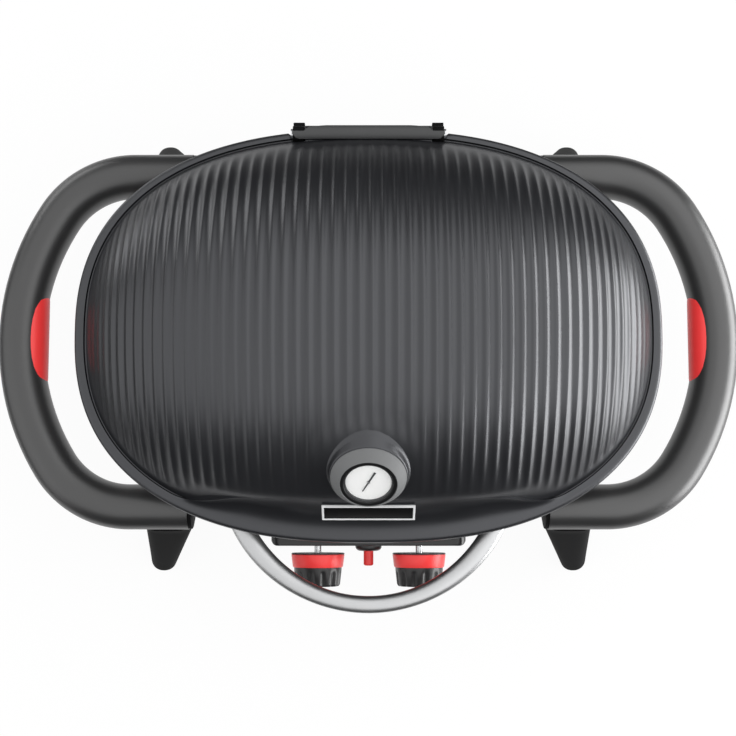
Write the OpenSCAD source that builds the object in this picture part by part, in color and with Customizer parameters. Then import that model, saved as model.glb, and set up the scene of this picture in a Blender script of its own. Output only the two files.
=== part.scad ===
// Tabletop gas grill: an oval cook box with a fluted domed lid, two C-shaped
// side handles that stand on splayed legs, two burners and a front control panel.
// Millimetres, +Z up, +X to the right, -Y towards the cook.
// The origin lies on the table, under the middle of the overall width and depth.

/* [Rim and lid] */
// Width of the lid's rim, left to right
rim_w = 560; // [540:1:580]
// Depth of the lid's rim, front to back
rim_d = 397; // [390:1:405]
// Squareness of the oval outlines, where 2 is an ellipse
oval_power = 2.4; // [2.3:0.05:2.55]
// Height of the base's top face above the table
part_z = 190; // [188:0.5:194]
// Gap between base and lid, set by the rubber stops
seat_gap = 0.8; // [0.5:0.1:1.5]
// Thickness of the lid's rim
lid_rim_t = 10; // [9:0.5:12]
// Width of the rim beside the dome, left and right
lid_rim_side = 12; // [10:0.5:14]
// Width of the rim behind the dome
lid_rim_rear = 9.5; // [9:0.5:10]
// Width of the rim in front of the dome
lid_rim_front = 12; // [10:0.5:14]
// Width of the lip in front of the lid's opening, which carries the handle
lid_lip_front = 25; // [24:0.5:27]
// Height of the dome above the rim
dome_h = 129; // [120:1:136]
// Wall of the lid casting
lid_wall = 5; // [4.5:0.5:6]
// Wall at the crown of the dome
crown_wall = 8; // [7.5:0.5:10]
// Spacing of the flutes along the dome
flute_pitch = 11; // [9.5:0.5:16]
// Depth of one flute
flute_depth = 1.5; // [1.2:0.1:2]

/* [Base] */
// Ledge of the base's rim outside the dome's outline
base_rim_out = 3; // [2.5:0.5:3.5]
// Thickness of the base's rim
base_rim_t = 9; // [8:0.5:10]
// Depth of the bowl from its rim to the lowest point of its curve
bowl_h = 118; // [116:0.5:121]
// Wall of the bowl casting
bowl_wall = 4; // [3.5:0.5:5]
// Height of the flat bottom above the table
bowl_floor_z = 78; // [77:0.5:79]
// Width of the grease drain
drain_w = 60; // [40:1:70]
// Depth of the grease drain
drain_d = 26; // [16:1:34]

/* [Side handles and legs] */
// Width over both side handles
overall_w = 730; // [722:1:740]
// Diameter of the handle tubes
tube_d = 44; // [42:0.5:46]
// Height of the tubes' centre line
tube_z = 144; // [141:0.5:147]
// How far the tubes' front and rear runs lie inside the rim's edge
tube_inset = 34; // [32:0.5:37]
// Reach of a handle's curve from its straight ends
tube_reach = 110; // [106:1:114]
// Bend radius at a handle's corners
tube_bend_r = 88; // [82:1:92]
// Inner end of the handle tubes
tube_end_x = 175; // [173:0.5:178]
// Length of the coloured grip inlay
inlay_len = 86; // [76:1:96]
// Height of the grip inlay
inlay_h = 37; // [34:0.5:39]
// Middle of a foot, left and right
foot_x = 219; // [214:0.5:224]
// How far a foot stands out from its tube, front and rear
foot_splay = 54; // [49:0.5:59]
// Diameter of a rubber foot
foot_d = 27; // [24:0.5:30]
// Thickness of a rubber foot
foot_t = 7; // [5:0.5:9]

/* [Controls] */
// Width of the control panel
panel_w = 188; // [182:1:194]
// Height of the control panel
panel_h = 64; // [62:0.5:67]
// How far the panel stands out in front of the rim
panel_out = 3.5; // [1.5:0.5:6.5]
// Distance from the middle to each knob
knob_x = 49.8; // [48:0.2:52]
// Height of the knobs, valves and burners
knob_z = 128; // [127:0.5:130]
// Largest diameter of the knob's coloured ring
knob_d = 52.5; // [50:0.5:55]
// Depth of the knob's coloured ring
knob_ring_t = 14; // [12:0.5:16]
// Depth of the grip in front of the ring
knob_grip_t = 18.5; // [16:0.5:22]
// Gap between panel and knob
knob_gap = 7.5; // [7:0.5:9]
// Diameter of a valve stem
stem_d = 7; // [6:0.5:8]
// Diameter of the igniter's push button
button_d = 9.7; // [8.5:0.1:11]
// Length of the push button in front of its collar
button_out = 15; // [12:0.5:18]

/* [Lid handle] */
// Middle of the hoop, measured back from the rim's front edge
hoop_back = 77; // [75:0.5:79]
// Radius of the hoop's centre line
hoop_r = 135.5; // [134:0.5:137]
// Width of the hoop's section, in its plane
hoop_w = 18; // [16:0.5:19]
// Height of the hoop's section
hoop_t = 14; // [12:0.5:14.5]
// Height of the hoop's centre line
hoop_z = 172; // [171:0.5:173]

/* [Thermometer] */
// Tilt of the thermometer from the vertical
gauge_tilt = 42.5; // [41:0.5:43]
// Diameter of the boss on the lid
boss_d = 71; // [69:0.5:73]
// Height of the boss above the dome
boss_h = 5; // [4:0.5:6]
// Diameter of the bezel at its foot
bezel_d = 67; // [65:0.5:68]
// Diameter of the bezel at its front edge
bezel_front_d = 54; // [53:0.5:56]
// Height of the bezel
bezel_h = 12; // [11:0.5:13]
// Diameter of the dial
dial_d = 44; // [40:0.5:45]

/* [Inside] */
// Underside of the cooking grates
grate_z = 166; // [164:0.5:168]
// Thickness of the grates
grate_t = 12; // [10:0.5:14]
// Width of a grate bar
bar_w = 8; // [6:0.5:10]
// Width of the slot beside a bar
slot_w = 10; // [8:0.5:12]
// Diameter of the burner tubes
burner_d = 20; // [18:0.5:21]
// Bend radius of the burner's loop
burner_r = 52; // [48:0.5:54]
// Height of the drip tray's floor above the table
tray_z = 55; // [51:0.5:57]
// Width of the drip tray
tray_w = 120; // [112:1:122]
// Length of the drip tray
tray_len = 150; // [130:1:160]

/* [Hidden] */
$fn = 64;

// Clearances: a running fit on a radius, a loose fit, and the gap beside a curved neighbour
run_fit = 0.05;
loose_fit = 0.2;
shell_gap = 0.5;
// How far a cutting shape reaches past the face that it opens
over = 1;

// Outline helpers: ovals with squared shoulders
function signed_pow(v, p) = sign(v) * pow(abs(v), p);
function oval(a, b, power = oval_power, count = 72) = [
  for (i = [0 : count - 1])
    let (t = 360 * i / count)
      [a * signed_pow(cos(t), 2 / power), b * signed_pow(sin(t), 2 / power)]
];
function oval_half(x, a, b) =
  b * pow(max(0, 1 - pow(min(1, abs(x) / a), oval_power)), 1 / oval_power);

// A barrel of half length a and half width b that rises by h above its rim plane
function axis_drop(b, h) = (b * b - h * h) / (2 * h);
function barrel_r(x, a, b, h) = norm([oval_half(x, a, b), axis_drop(b, h)]);
function barrel_profile(a, b, h, step = 4) = [
  for (u = [-barrel_sweep : step : barrel_sweep])
    let (x = a * sin(u)) [barrel_r(x, a, b, h), x]
];
barrel_core = 20;
barrel_sweep = 88;

// Plan outlines, half sizes: the dome's shell stands evenly inside the rim, and its opening,
// the base and the bowl lie further back to leave the front lip
rim_a = rim_w / 2;
rim_b = rim_d / 2;
dome_a = rim_a - lid_rim_side;
dome_b = (rim_d - lid_rim_rear - lid_lip_front) / 2;
dome_y = (lid_lip_front - lid_rim_rear) / 2;
shell_b = (rim_d - lid_rim_rear - lid_rim_front) / 2;
shell_y = (lid_rim_front - lid_rim_rear) / 2;
base_a = dome_a + base_rim_out;
base_b = dome_b + base_rim_out;
tube_y = rim_b - tube_inset;
foot_y = tube_y + foot_splay;
panel_front = rim_b + panel_out;
hoop_y = rim_b - hoop_back;
rim_chamfer = 3;

// Levels of the lid and of the base's rim
lid_z = part_z + seat_gap;
lid_top_z = lid_z + lid_rim_t;
flange_z = part_z - base_rim_t;

// The dome and the bowl are barrels, turned about an axis along X
dome_axis_z = lid_top_z - axis_drop(shell_b, dome_h);
dome_r = barrel_r(0, dome_a, shell_b, dome_h);
hollow_a = dome_a - lid_wall;
hollow_b = dome_b - lid_wall;
hollow_h = dome_h - crown_wall;
hollow_axis_z = lid_top_z - axis_drop(hollow_b, hollow_h);
hollow_r = barrel_r(0, hollow_a, hollow_b, hollow_h);
bowl_a = dome_a - 2;
bowl_b = dome_b - 2;
bowl_axis_z = part_z + axis_drop(bowl_b, bowl_h);
bowl_in_a = bowl_a - bowl_wall;
bowl_in_b = bowl_b - bowl_wall;
bowl_in_h = bowl_h - bowl_wall;
rim_lip = 2.4;

// Flutes are evenly spaced along the dome's crest line, so their places come from its length
crest = barrel_profile(dome_a, shell_b, dome_h, 1);
crest_run = [
  for (i = 0, s = 0; i < len(crest); i = i + 1,
    s = i < len(crest) ? s + norm(crest[i] - crest[i - 1]) : s) s
];
crest_half = crest_run[len(crest) - 1] / 2;
crest_x = [for (i = [0 : len(crest) - 1]) [crest_run[i] - crest_half, crest[i][1]]];
flute_count = floor((crest_half - lid_wall) / flute_pitch - 0.5);
flute_end = (flute_count + 0.5) * flute_pitch;
flute_steps = 4;
function flute(s) = abs(s) >= flute_end ? 0 : flute_depth * (1 + cos(360 * s / flute_pitch)) / 2;
function crest_point(s) =
  let (x = lookup(s, crest_x)) [barrel_r(x, dome_a, shell_b, dome_h), x];
function fluted_point(s) =
  let (p = crest_point(s), q = crest_point(s + 0.5) - crest_point(s - 0.5))
    p - flute(s) * [q[1], -q[0]] / norm(q);
flute_last = flute_steps * (flute_count + 0.5);
fluted_profile = concat(
  [crest[0]],
  [for (i = [-flute_last : flute_last]) fluted_point(i * flute_pitch / flute_steps)],
  [crest[len(crest) - 1]]
);

// Hinge: the pins' axis, the knuckle on the lid, the ears on the base and the cover
hinge_y = dome_y + base_b - 0.5;
hinge_z = lid_top_z + 4;
knuckle_r = 8;
knuckle_half = 60.6;
knuckle_web = 4.2;
ear_r = knuckle_r - 0.3;
ear_x = 67;
ear_t = 11;
ear_back = 13.5;
ear_drop = 7;
pin_r = 3;
cover_r = knuckle_r + 2.5;
cover_half = 73;
cover_rear_angle = 62;
// The cover reaches forward until it comes close to the dome
function dome_back(z) = shell_y + sqrt(pow(dome_r, 2) - pow(z - dome_axis_z, 2));
cover_front_angle = max([
  for (a = [90 : 1 : 140])
    if (hinge_y + cover_r * cos(a) - dome_back(hinge_z + cover_r * sin(a)) >= 0.4) a
]);
notch_y = hinge_y - 1;
notch_half = ear_x + ear_t / 2 + 3.5;
bracket_half = 74;
bracket_t = 8;
bracket_screw_in = 4.5;
cover_screw_x = 40;
cover_bite = 1.5;
bracket_screw_x = ear_x - 22;
bracket_screw_len = 13;

// Side handles: the wide arc that joins the two corner bends
tube_r = tube_d / 2;
tube_x = overall_w / 2 - tube_r;
bend_x = tube_x - tube_reach;
side_r = (pow(tube_y - tube_bend_r, 2) + pow(tube_reach, 2) - pow(tube_bend_r, 2))
  / (2 * (tube_reach - tube_bend_r));
side_half_angle = asin((tube_y - tube_bend_r) / (side_r - tube_bend_r));
inlay_depth = 3;
inlay_r = inlay_h / 2;
// The inlay is straight: its inner side is the chord of the tube's inner edge
inlay_face = tube_x - side_r + sqrt(pow(side_r - tube_r, 2) - pow(inlay_len / 2, 2));

// Legs hang on lugs of the bowl, clamped between lug and tube
lug_t = 12;
lug_root = 73;
cheek_t = 3.5;
lug_x = tube_end_x - cheek_t;
bolt_r = 3;
bolt_gap_z = 11;
bolt_grip = 16;
leg_top_drop = 6;
leg_sole = 8;
spigot_r = 4;
spigot_h = 8;

// Controls
panel_top_z = knob_z + panel_h / 2;
panel_low_z = knob_z - panel_h / 2;
panel_t = 3;
panel_depth = 62;
panel_hole_r = 6.5;
arm_x = panel_w / 2 - 18;
arm_back = 92;
arm_screw_y = 22 - panel_front;
stem_r = stem_d / 2;
valve_r = 9;
valve_back = panel_front - 42;
manifold_y = 22 - panel_front;
manifold_z = knob_z - 21;
manifold_r = 6;
inlet_elbow = 14;
inlet_wall_gap = 5;
inlet_x = panel_w / 2 - panel_t - inlet_wall_gap - inlet_elbow;
inlet_elbow_r = 7.5;
inlet_neck_r = 5.6;
inlet_hex = 8;
inlet_r = 6.58;
inlet_len = 14;
nozzle_len = 14;
knob_back = panel_front + knob_gap;
knob_mid = knob_back + knob_ring_t;
knob_front = knob_mid + knob_grip_t;
knob_core_r = 18;
igniter_r = 8;
collar_r = 13;
collar_t = 5;
button_r = button_d / 2;
button_tip = -panel_front - collar_t - button_out;
screw_r = 2;
screw_head_r = 3.8;
screw_head_t = 2.4;
small_head_r = 3;

// Thermometer levels, measured along its own axis from the dome's crest
case_floor = boss_h - 3;
dial_level = boss_h + bezel_h - 5;
dial_t = 1;
lens_level = boss_h + bezel_h - 2;
lens_t = 1.2;
case_r = bezel_front_d / 2 - 1;
gauge_stem_r = 4;
gauge_probe = 56;
spindle_r = 1;
// The nut bears on the lid's inner face, which the thermometer's axis meets at this level
hollow_shift = [dome_y - shell_y, hollow_axis_z - dome_axis_z];
hollow_along = hollow_shift * [-sin(gauge_tilt), cos(gauge_tilt)];
hollow_level = hollow_along - dome_r
  + sqrt(pow(hollow_r, 2) - pow(norm(hollow_shift), 2) + pow(hollow_along, 2));
nut_level = hollow_level + 0.8;
plate_rise = 37.5;
plate_w = 86.5;
plate_h = 26;
plate_level = 2;
plate_edge = 1.5;
plate_boss_gap = 0.5;
// The plate lies at its rise above the rim, or further down where the boss over it needs the room
plate_boss_reach = boss_d / 2 + plate_boss_gap + plate_edge + plate_h / 2;
plate_tilt = max(
  acos((lid_top_z + plate_rise - dome_axis_z) / dome_r),
  gauge_tilt + plate_boss_reach / dome_r * 180 / PI
);

// Hoop and its two mounts
hoop_half_angle = 72;
hoop_top = hoop_z + hoop_t / 2;
hoop_low = hoop_z - hoop_t / 2;
mount_angle = 67;
mount_bite = 6;
mount_head_r = 5.2;
mount_head_t = 3;

// Grates follow the bowl's inner outline at their height
grate_gap = 6;
grate_y = dome_y;
grate_fall = bowl_axis_z - grate_z;
bowl_in_r = barrel_r(0, bowl_in_a, bowl_in_b, bowl_in_h);
grate_b = sqrt(pow(bowl_in_r, 2) - pow(grate_fall, 2)) - grate_gap;
grate_end = sqrt(pow(grate_fall, 2) - pow(axis_drop(bowl_in_b, bowl_in_h), 2));
grate_a = bowl_in_a * pow(1 - pow(grate_end / bowl_in_b, oval_power), 1 / oval_power) - grate_gap;
grate_frame = 10;

// Burners, their pedestals in the bowl, and the spark electrodes
burner_tube_r = burner_d / 2;
burner_back_y = 38;
burner_out_x = knob_x + 2 * burner_r;
burner_front_y = -valve_back + 10;
burner_end_y = -62;
pedestal_w = 17;
electrode_dx = 22;
electrode_dz = 10;
electrode_r = 3.2;
electrode_rod = 68;
electrode_wire = 8;
wire_r = 0.8;

// Rubber stops in the base's rim: two at each end of the front and rear, two at the front
stop_r = 4;
stop_seat = 3;
function stop_place(x, side) =
  [x, dome_y + side * oval_half(x, base_a - 5.7, base_b - 5.7)];
stop_places = concat(
  [for (f = [-0.79, 0.79], side = [-1, 1]) stop_place(f * base_a, side)],
  [for (f = [-0.26, 0.26]) stop_place(f * base_a, -1)]
);

// Drip tray and rails
tray_h = 16;
tray_wall = 2;
tray_lip = 6;
rail_t = 2;
rail_len = 120;
rail_x = tray_w / 2 + tray_lip + 0.6;
rail_screw_x = tray_w / 2 - 1;
rail_screw_y = 26;
lip_z = tray_z + tray_h - 1.5;

// Overall depth sets where the origin lies
front_reach = hoop_y + hoop_r + hoop_w / 2;
rear_reach = foot_y + foot_d / 2;
origin_y = (front_reach - rear_reach) / 2;

// Solid helpers
module place() translate([0, origin_y, 0]) children();
module flip_x(s) { if (s < 0) mirror([1, 0, 0]) children(); else children(); }
module flip_y(s) { if (s < 0) mirror([0, 1, 0]) children(); else children(); }
module both_sides() for (s = [-1, 1]) flip_x(s) children();
module above(z) translate([-500, -500, z]) cube([1000, 1000, 500]);
module below(z) translate([-500, -500, z - 500]) cube([1000, 1000, 500]);
module box(low, high) translate(low) cube(high - low);
module along_x(x0, x1, r) translate([x0, 0, 0]) rotate([0, 90, 0]) cylinder(r = r, h = x1 - x0);
module along_y(y0, y1, r, r_end = 0)
  translate([0, y0, 0]) rotate([-90, 0, 0]) cylinder(r1 = r, r2 = r_end > 0 ? r_end : r, h = y1 - y0);
// A plane outline in Y and Z, given a thickness along X
module slab_x(x0, x1) translate([x0, 0, 0]) rotate([90, 0, 90]) linear_extrude(x1 - x0) children();
module round_rect(w, h, r) {
  square([w - 2 * r, h], center = true);
  square([w, h - 2 * r], center = true);
  for (sx = [-1, 1], sy = [-1, 1]) translate([sx * (w / 2 - r), sy * (h / 2 - r)]) circle(r = r);
}
module revolve_x(profile)
  rotate([0, 90, 0]) rotate_extrude() polygon(concat(
    [[barrel_core, profile[0][1]]], profile, [[barrel_core, profile[len(profile) - 1][1]]]
  ));
// Closed skin over rings of points that all have the same count
module loft(rings) {
  count = len(rings[0]);
  last = len(rings) - 1;
  polyhedron(
    points = [for (ring = rings) for (p = ring) p],
    faces = concat(
      [[for (i = [0 : count - 1]) i]],
      [
        for (k = [0 : last - 1]) for (i = [0 : count - 1])
          let (a = k * count + i, b = k * count + (i + 1) % count) [a, a + count, b + count, b]
      ],
      [[for (i = [count - 1 : -1 : 0]) last * count + i]]
    )
  );
}
function ring_at(outline, x, y, z) = [for (p = outline) [p[0] + x, p[1] + y, z]];

// Places on the lid: a point of the dome's crest, the hinge axis, a point of the hoop
module at_dome(tilt)
  translate([0, shell_y - dome_r * sin(tilt), dome_axis_z + dome_r * cos(tilt)])
    rotate([tilt, 0, 0]) children();
module at_gauge() at_dome(gauge_tilt) children();
module at_hinge() translate([0, hinge_y, hinge_z]) children();
module at_hoop(angle)
  translate([0, -hoop_y, 0]) rotate([0, 0, angle]) translate([0, -hoop_r, 0]) children();
module at_mounts() for (s = [-1, 1]) at_hoop(s * mount_angle) children();
module at_tube_end(s) translate([0, s * tube_y, tube_z]) children();
module at_knob() translate([knob_x, 0, knob_z]) children();

// Base casting
module bowl_outside(grow = 0) intersection() {
  translate([0, dome_y, bowl_axis_z])
    revolve_x(barrel_profile(bowl_a + grow, bowl_b + grow, bowl_h + grow));
  box([-400, -400, bowl_floor_z - grow], [400, 400, part_z - over]);
}
module bowl_inside() intersection() {
  translate([0, dome_y, bowl_axis_z]) revolve_x(barrel_profile(bowl_in_a, bowl_in_b, bowl_in_h));
  box([-400, -400, bowl_floor_z + bowl_wall], [400, 400, part_z - 4]);
}
module leg_lug() slab_x(lug_x - lug_t, lug_x) polygon([
  [tube_y - lug_root, flange_z + over], [tube_y - lug_root, tube_z - 4], [tube_y - 16, tube_z - 20],
  [tube_y + 10, tube_z - 20], [tube_y + 10, tube_z + 18], [tube_y - 6, flange_z + over]
]);
module panel_arm()
  box([arm_x - 7, 8 - panel_front, panel_top_z - panel_t - 14],
    [arm_x + 7, arm_back - panel_front, panel_top_z - panel_t]);
module grate_ledge(x, side)
  translate([x, grate_y + side * (oval_half(x, grate_a, grate_b) + 3), grate_z - 5])
    cube([18, 26, 10], center = true);
module pedestals() both_sides() {
  box([knob_x + burner_r - pedestal_w / 2, burner_back_y + burner_r - 8, bowl_floor_z],
    [knob_x + burner_r + pedestal_w / 2, burner_back_y + burner_r + 12, knob_z]);
  box([burner_out_x - pedestal_w / 2, burner_end_y + 4, bowl_floor_z],
    [burner_out_x + pedestal_w / 2, burner_end_y + 20, knob_z]);
}
module base_bowl() color("#2a2b2d") difference() {
  union() {
    bowl_outside();
    translate([0, dome_y, flange_z]) linear_extrude(base_rim_t) polygon(oval(base_a, base_b));
    both_sides() {
      for (s = [-1, 1]) flip_y(s) leg_lug();
      panel_arm();
    }
  }
  difference() {
    bowl_inside();
    for (f = [-0.78, -0.4, 0, 0.4, 0.78], side = [-1, 1]) grate_ledge(f * grate_a, side);
    pedestals();
  }
  translate([0, dome_y, part_z - 5])
    linear_extrude(5 + over) polygon(oval(bowl_in_a - rim_lip, bowl_in_b - rim_lip));
  translate([0, dome_y, bowl_floor_z - over])
    linear_extrude(bowl_wall + 2 * over) round_rect(drain_w, drain_d, 6);
  both_sides() {
    burner_path(burner_tube_r + loose_fit);
    translate([knob_x + electrode_dx, 0, knob_z + electrode_dz])
      along_y(-panel_front, electrode_rod - valve_back + over, electrode_r + run_fit);
    for (s = [-1, 1], dz = [-bolt_gap_z, bolt_gap_z])
      translate([0, s * tube_y, tube_z + dz])
        along_x(lug_x - lug_t - over, lug_x + over, bolt_r + loose_fit);
    translate([arm_x, arm_screw_y, panel_top_z - panel_t - 10]) cylinder(r = screw_r + run_fit, h = 20);
    for (s = [-1, 1])
      translate([rail_screw_x, dome_y + s * rail_screw_y, bowl_floor_z - over])
        cylinder(r = screw_r + run_fit, h = bowl_wall + 2 * over);
    translate([bracket_screw_x, hinge_y - bracket_screw_in, flange_z - over])
      cylinder(r = screw_r + run_fit, h = over + 6);
  }
  for (p = stop_places)
    translate([p[0], p[1], part_z - stop_seat]) cylinder(r = stop_r + loose_fit, h = stop_seat + over);
}
module rim_stops() color("#161616")
  for (p = stop_places)
    translate([p[0], p[1], part_z - stop_seat]) cylinder(r = stop_r, h = stop_seat + seat_gap);

// Side handles, bent from one tube, with a coloured inlay on the inner side
module side_arc(r)
  translate([tube_x - side_r, 0, tube_z]) rotate([0, 0, -side_half_angle])
    rotate_extrude(angle = 2 * side_half_angle) translate([side_r, 0]) circle(r = r);
// The tube follows its centre line by the direction t that its outer side faces
function tube_centre(t) = abs(t) > side_half_angle
  ? [bend_x + tube_bend_r * cos(t), sign(t) * (tube_y - tube_bend_r) + tube_bend_r * sin(t)]
  : [tube_x - side_r + side_r * cos(t), side_r * sin(t)];
function tube_ring(c, t) = [
  for (i = [0 : 23])
    let (a = 15 * i)
      [c[0] + tube_r * cos(a) * cos(t), c[1] + tube_r * cos(a) * sin(t), tube_z + tube_r * sin(a)]
];
module tube_path() loft(concat(
  [tube_ring([tube_end_x, tube_y], 90)],
  [for (t = [90 : -7.5 : -90]) tube_ring(tube_centre(t), t)],
  [tube_ring([tube_end_x, -tube_y], -90)]
));
// The inlay is a straight rod, sunk into the bent tube as far as its inner side allows
module inlay_rod(grow) translate([inlay_face + inlay_r, 0, tube_z])
  along_y(-inlay_len / 2 - grow, inlay_len / 2 + grow, inlay_r + grow);
module side_handle() difference() {
  tube_path();
  difference() {
    inlay_rod(loose_fit);
    side_arc(tube_r - inlay_depth);
  }
  for (s = [-1, 1], dz = [-bolt_gap_z, bolt_gap_z])
    translate([0, s * tube_y, tube_z + dz])
      along_x(tube_end_x - over, tube_end_x + bolt_grip, bolt_r + run_fit);
}
module grip_inlay() difference() {
  inlay_rod(0);
  side_arc(tube_r - inlay_depth + run_fit);
}
module left_side_handle() color("#1a1b1d") flip_x(-1) side_handle();
module right_side_handle() color("#1a1b1d") side_handle();
module left_grip_inlay() color("#d22b2b") flip_x(-1) grip_inlay();
module right_grip_inlay() color("#d22b2b") grip_inlay();

// Legs: a saddle under the tube, a cheek over its end, tapering to the foot
leg_in = lug_x + 1;
leg_out = leg_in + 51;
function mix(a, b, f) = a * (1 - f) + b * f;
function leg_ring(f, z) = ring_at(
  oval(mix((leg_out - leg_in) / 2, foot_d / 2, f), mix(tube_r + 2, foot_d / 2, f), mix(4, 2.2, f), 28),
  mix((leg_in + leg_out) / 2, foot_x, f),
  mix(tube_y, foot_y, f),
  z
);
leg_rings = concat(
  [for (f = [1 : -0.25 : 0]) leg_ring(f, mix(tube_z - tube_r - leg_sole, foot_t, f))],
  [leg_ring(0, tube_z - leg_top_drop)]
);
module leg() difference() {
  union() {
    difference() {
      loft(leg_rings);
      at_tube_end(1) along_x(tube_end_x, leg_out + over, tube_r + run_fit);
    }
    at_tube_end(1) along_x(lug_x, tube_end_x, tube_r - 0.6);
  }
  for (dz = [-bolt_gap_z, bolt_gap_z])
    translate([0, tube_y, tube_z + dz]) along_x(lug_x - over, tube_end_x + over, bolt_r + loose_fit);
  translate([foot_x, foot_y, foot_t - over]) cylinder(r = spigot_r + loose_fit, h = spigot_h + 2 * over);
}
module foot() translate([foot_x, foot_y, 0]) {
  cylinder(r = foot_d / 2 - 0.4, h = foot_t);
  cylinder(r = spigot_r, h = foot_t + spigot_h);
}
module front_left_leg() color("#1c1d1f") flip_x(-1) flip_y(-1) leg();
module front_right_leg() color("#1c1d1f") flip_y(-1) leg();
module rear_left_leg() color("#1c1d1f") flip_x(-1) leg();
module rear_right_leg() color("#1c1d1f") leg();
module front_left_foot() color("#101010") flip_x(-1) flip_y(-1) foot();
module front_right_foot() color("#101010") flip_y(-1) foot();
module rear_left_foot() color("#101010") flip_x(-1) foot();
module rear_right_foot() color("#101010") foot();
module handle_bolts() color("#8f9296") both_sides()
  for (s = [-1, 1], dz = [-bolt_gap_z, bolt_gap_z]) translate([0, s * tube_y, tube_z + dz]) {
    along_x(lug_x - lug_t, tube_end_x + bolt_grip - 2, bolt_r);
    translate([lug_x - lug_t - 4, 0, 0]) rotate([0, 90, 0]) cylinder(r = 5.5, h = 4, $fn = 6);
  }

// Control panel: a box that is open to the rear, hung on two arms of the bowl
module control_panel() color("#202123") difference() {
  intersection() {
    translate([0, panel_depth - panel_front, knob_z]) rotate([90, 0, 0])
      linear_extrude(panel_depth + over) round_rect(panel_w + 1, panel_h, 9);
    translate([0, panel_depth - panel_front, knob_z - panel_h])
      linear_extrude(2 * panel_h) round_rect(panel_w, 2 * panel_depth, 6);
  }
  box([panel_t - panel_w / 2, panel_t - panel_front, panel_low_z + panel_t],
    [panel_w / 2 - panel_t, panel_depth, panel_top_z - panel_t]);
  box([-panel_w, panel_depth - panel_front, 0], [panel_w, panel_depth, 300]);
  bowl_outside(shell_gap);
  both_sides() {
    at_knob() along_y(-panel_front - over, -panel_front + 2 * panel_t, panel_hole_r);
    translate([arm_x, arm_screw_y, panel_top_z - 2 * panel_t])
      cylinder(r = screw_r + loose_fit, h = 3 * panel_t);
  }
  translate([0, 0, knob_z]) along_y(-panel_front - over, -panel_front + 2 * panel_t, igniter_r + loose_fit);
  at_inlet() translate([0, 0, -over]) cylinder(r = inlet_neck_r + loose_fit, h = panel_t + 2 * over);
}
module panel_screws() color("#8f9296") both_sides() translate([arm_x, arm_screw_y, panel_top_z]) {
  translate([0, 0, -panel_t - 8]) cylinder(r = screw_r, h = panel_t + 8);
  cylinder(r = screw_head_r, h = screw_head_t);
}

// Gas train: inlet, manifold, valves
module manifold_bar(r) translate([0, manifold_y, manifold_z]) along_x(-knob_x - 14, inlet_x, r);
module gas_manifold() color("#b8babd") manifold_bar(manifold_r);
module at_inlet() translate([inlet_x + inlet_elbow / 2, manifold_y, panel_low_z]) children();
module gas_inlet() color("#b3893e") {
  translate([0, manifold_y, manifold_z]) along_x(inlet_x, inlet_x + inlet_elbow, inlet_elbow_r);
  at_inlet() {
    translate([0, 0, -over]) cylinder(r = inlet_neck_r, h = manifold_z - panel_low_z + over);
    translate([0, 0, -inlet_hex]) cylinder(r = 9.5, h = inlet_hex, $fn = 6);
    translate([0, 0, -inlet_hex - inlet_len]) cylinder(r = inlet_r, h = inlet_len + over);
  }
}
module valve() difference() {
  union() {
    at_knob() {
      along_y(panel_t - panel_front, -valve_back, valve_r);
      along_y(-valve_back - over, -valve_back + nozzle_len, 4.5, 3);
    }
    translate([knob_x, manifold_y, manifold_z]) cylinder(r = 5.4, h = knob_z - manifold_z);
  }
  manifold_bar(manifold_r + run_fit);
  at_knob() along_y(-panel_front, -valve_back - 14, stem_r + run_fit);
}
module left_valve() color("#b3893e") flip_x(-1) valve();
module right_valve() color("#b3893e") valve();

// Burners: hairpin tubes with a row of flame holes
module burner_path(r) {
  at_knob() along_y(burner_front_y, burner_back_y, r);
  translate([knob_x + burner_r, burner_back_y, knob_z])
    rotate_extrude(angle = 180) translate([burner_r, 0]) circle(r = r);
  translate([burner_out_x, 0, knob_z]) along_y(burner_end_y, burner_back_y, r);
}
module burner() difference() {
  burner_path(burner_tube_r);
  at_knob() along_y(burner_front_y - over, burner_front_y + 46, burner_tube_r - 1.4);
  for (y = [-60 : 16 : 20]) translate([0, y, knob_z]) {
    translate([knob_x, 0, 0]) cylinder(r = 1.5, h = burner_d);
    if (y > burner_end_y + 8) translate([burner_out_x, 0, 0]) cylinder(r = 1.5, h = burner_d);
  }
}
module left_burner() color("#9a9ca0") flip_x(-1) burner();
module right_burner() color("#9a9ca0") burner();

// Spark electrodes: a ceramic rod through the bowl's front wall, and its wire
module electrode() translate([knob_x + electrode_dx, 0, knob_z + electrode_dz]) {
  along_y(-valve_back, electrode_rod - valve_back, electrode_r);
  translate([0, electrode_rod + electrode_wire - valve_back, 0]) {
    along_y(-electrode_wire - over, 0, wire_r);
    sphere(r = wire_r);
    along_x(burner_tube_r + 2 - electrode_dx, 0, wire_r);
  }
}
module left_electrode() color("#e8e4da") flip_x(-1) electrode();
module right_electrode() color("#e8e4da") electrode();

// Igniter: a housing clamped through the panel, and its push button
module igniter_housing() color("#18181a") translate([0, 0, knob_z]) difference() {
  union() {
    along_y(-panel_front - collar_t, -panel_front, collar_r);
    along_y(-panel_front - over, -panel_front + 38, igniter_r);
    along_y(panel_t - panel_front, panel_t - panel_front + 5, igniter_r + 4);
  }
  along_y(-panel_front - collar_t - over, -panel_front + 32, button_r + run_fit);
}
module igniter_button() color("#d22b2b") translate([0, 0, knob_z]) {
  along_y(button_tip + 1.2, -panel_front + 18, button_r);
  along_y(button_tip, button_tip + 1.2, button_r - 1.2, button_r);
}

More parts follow.
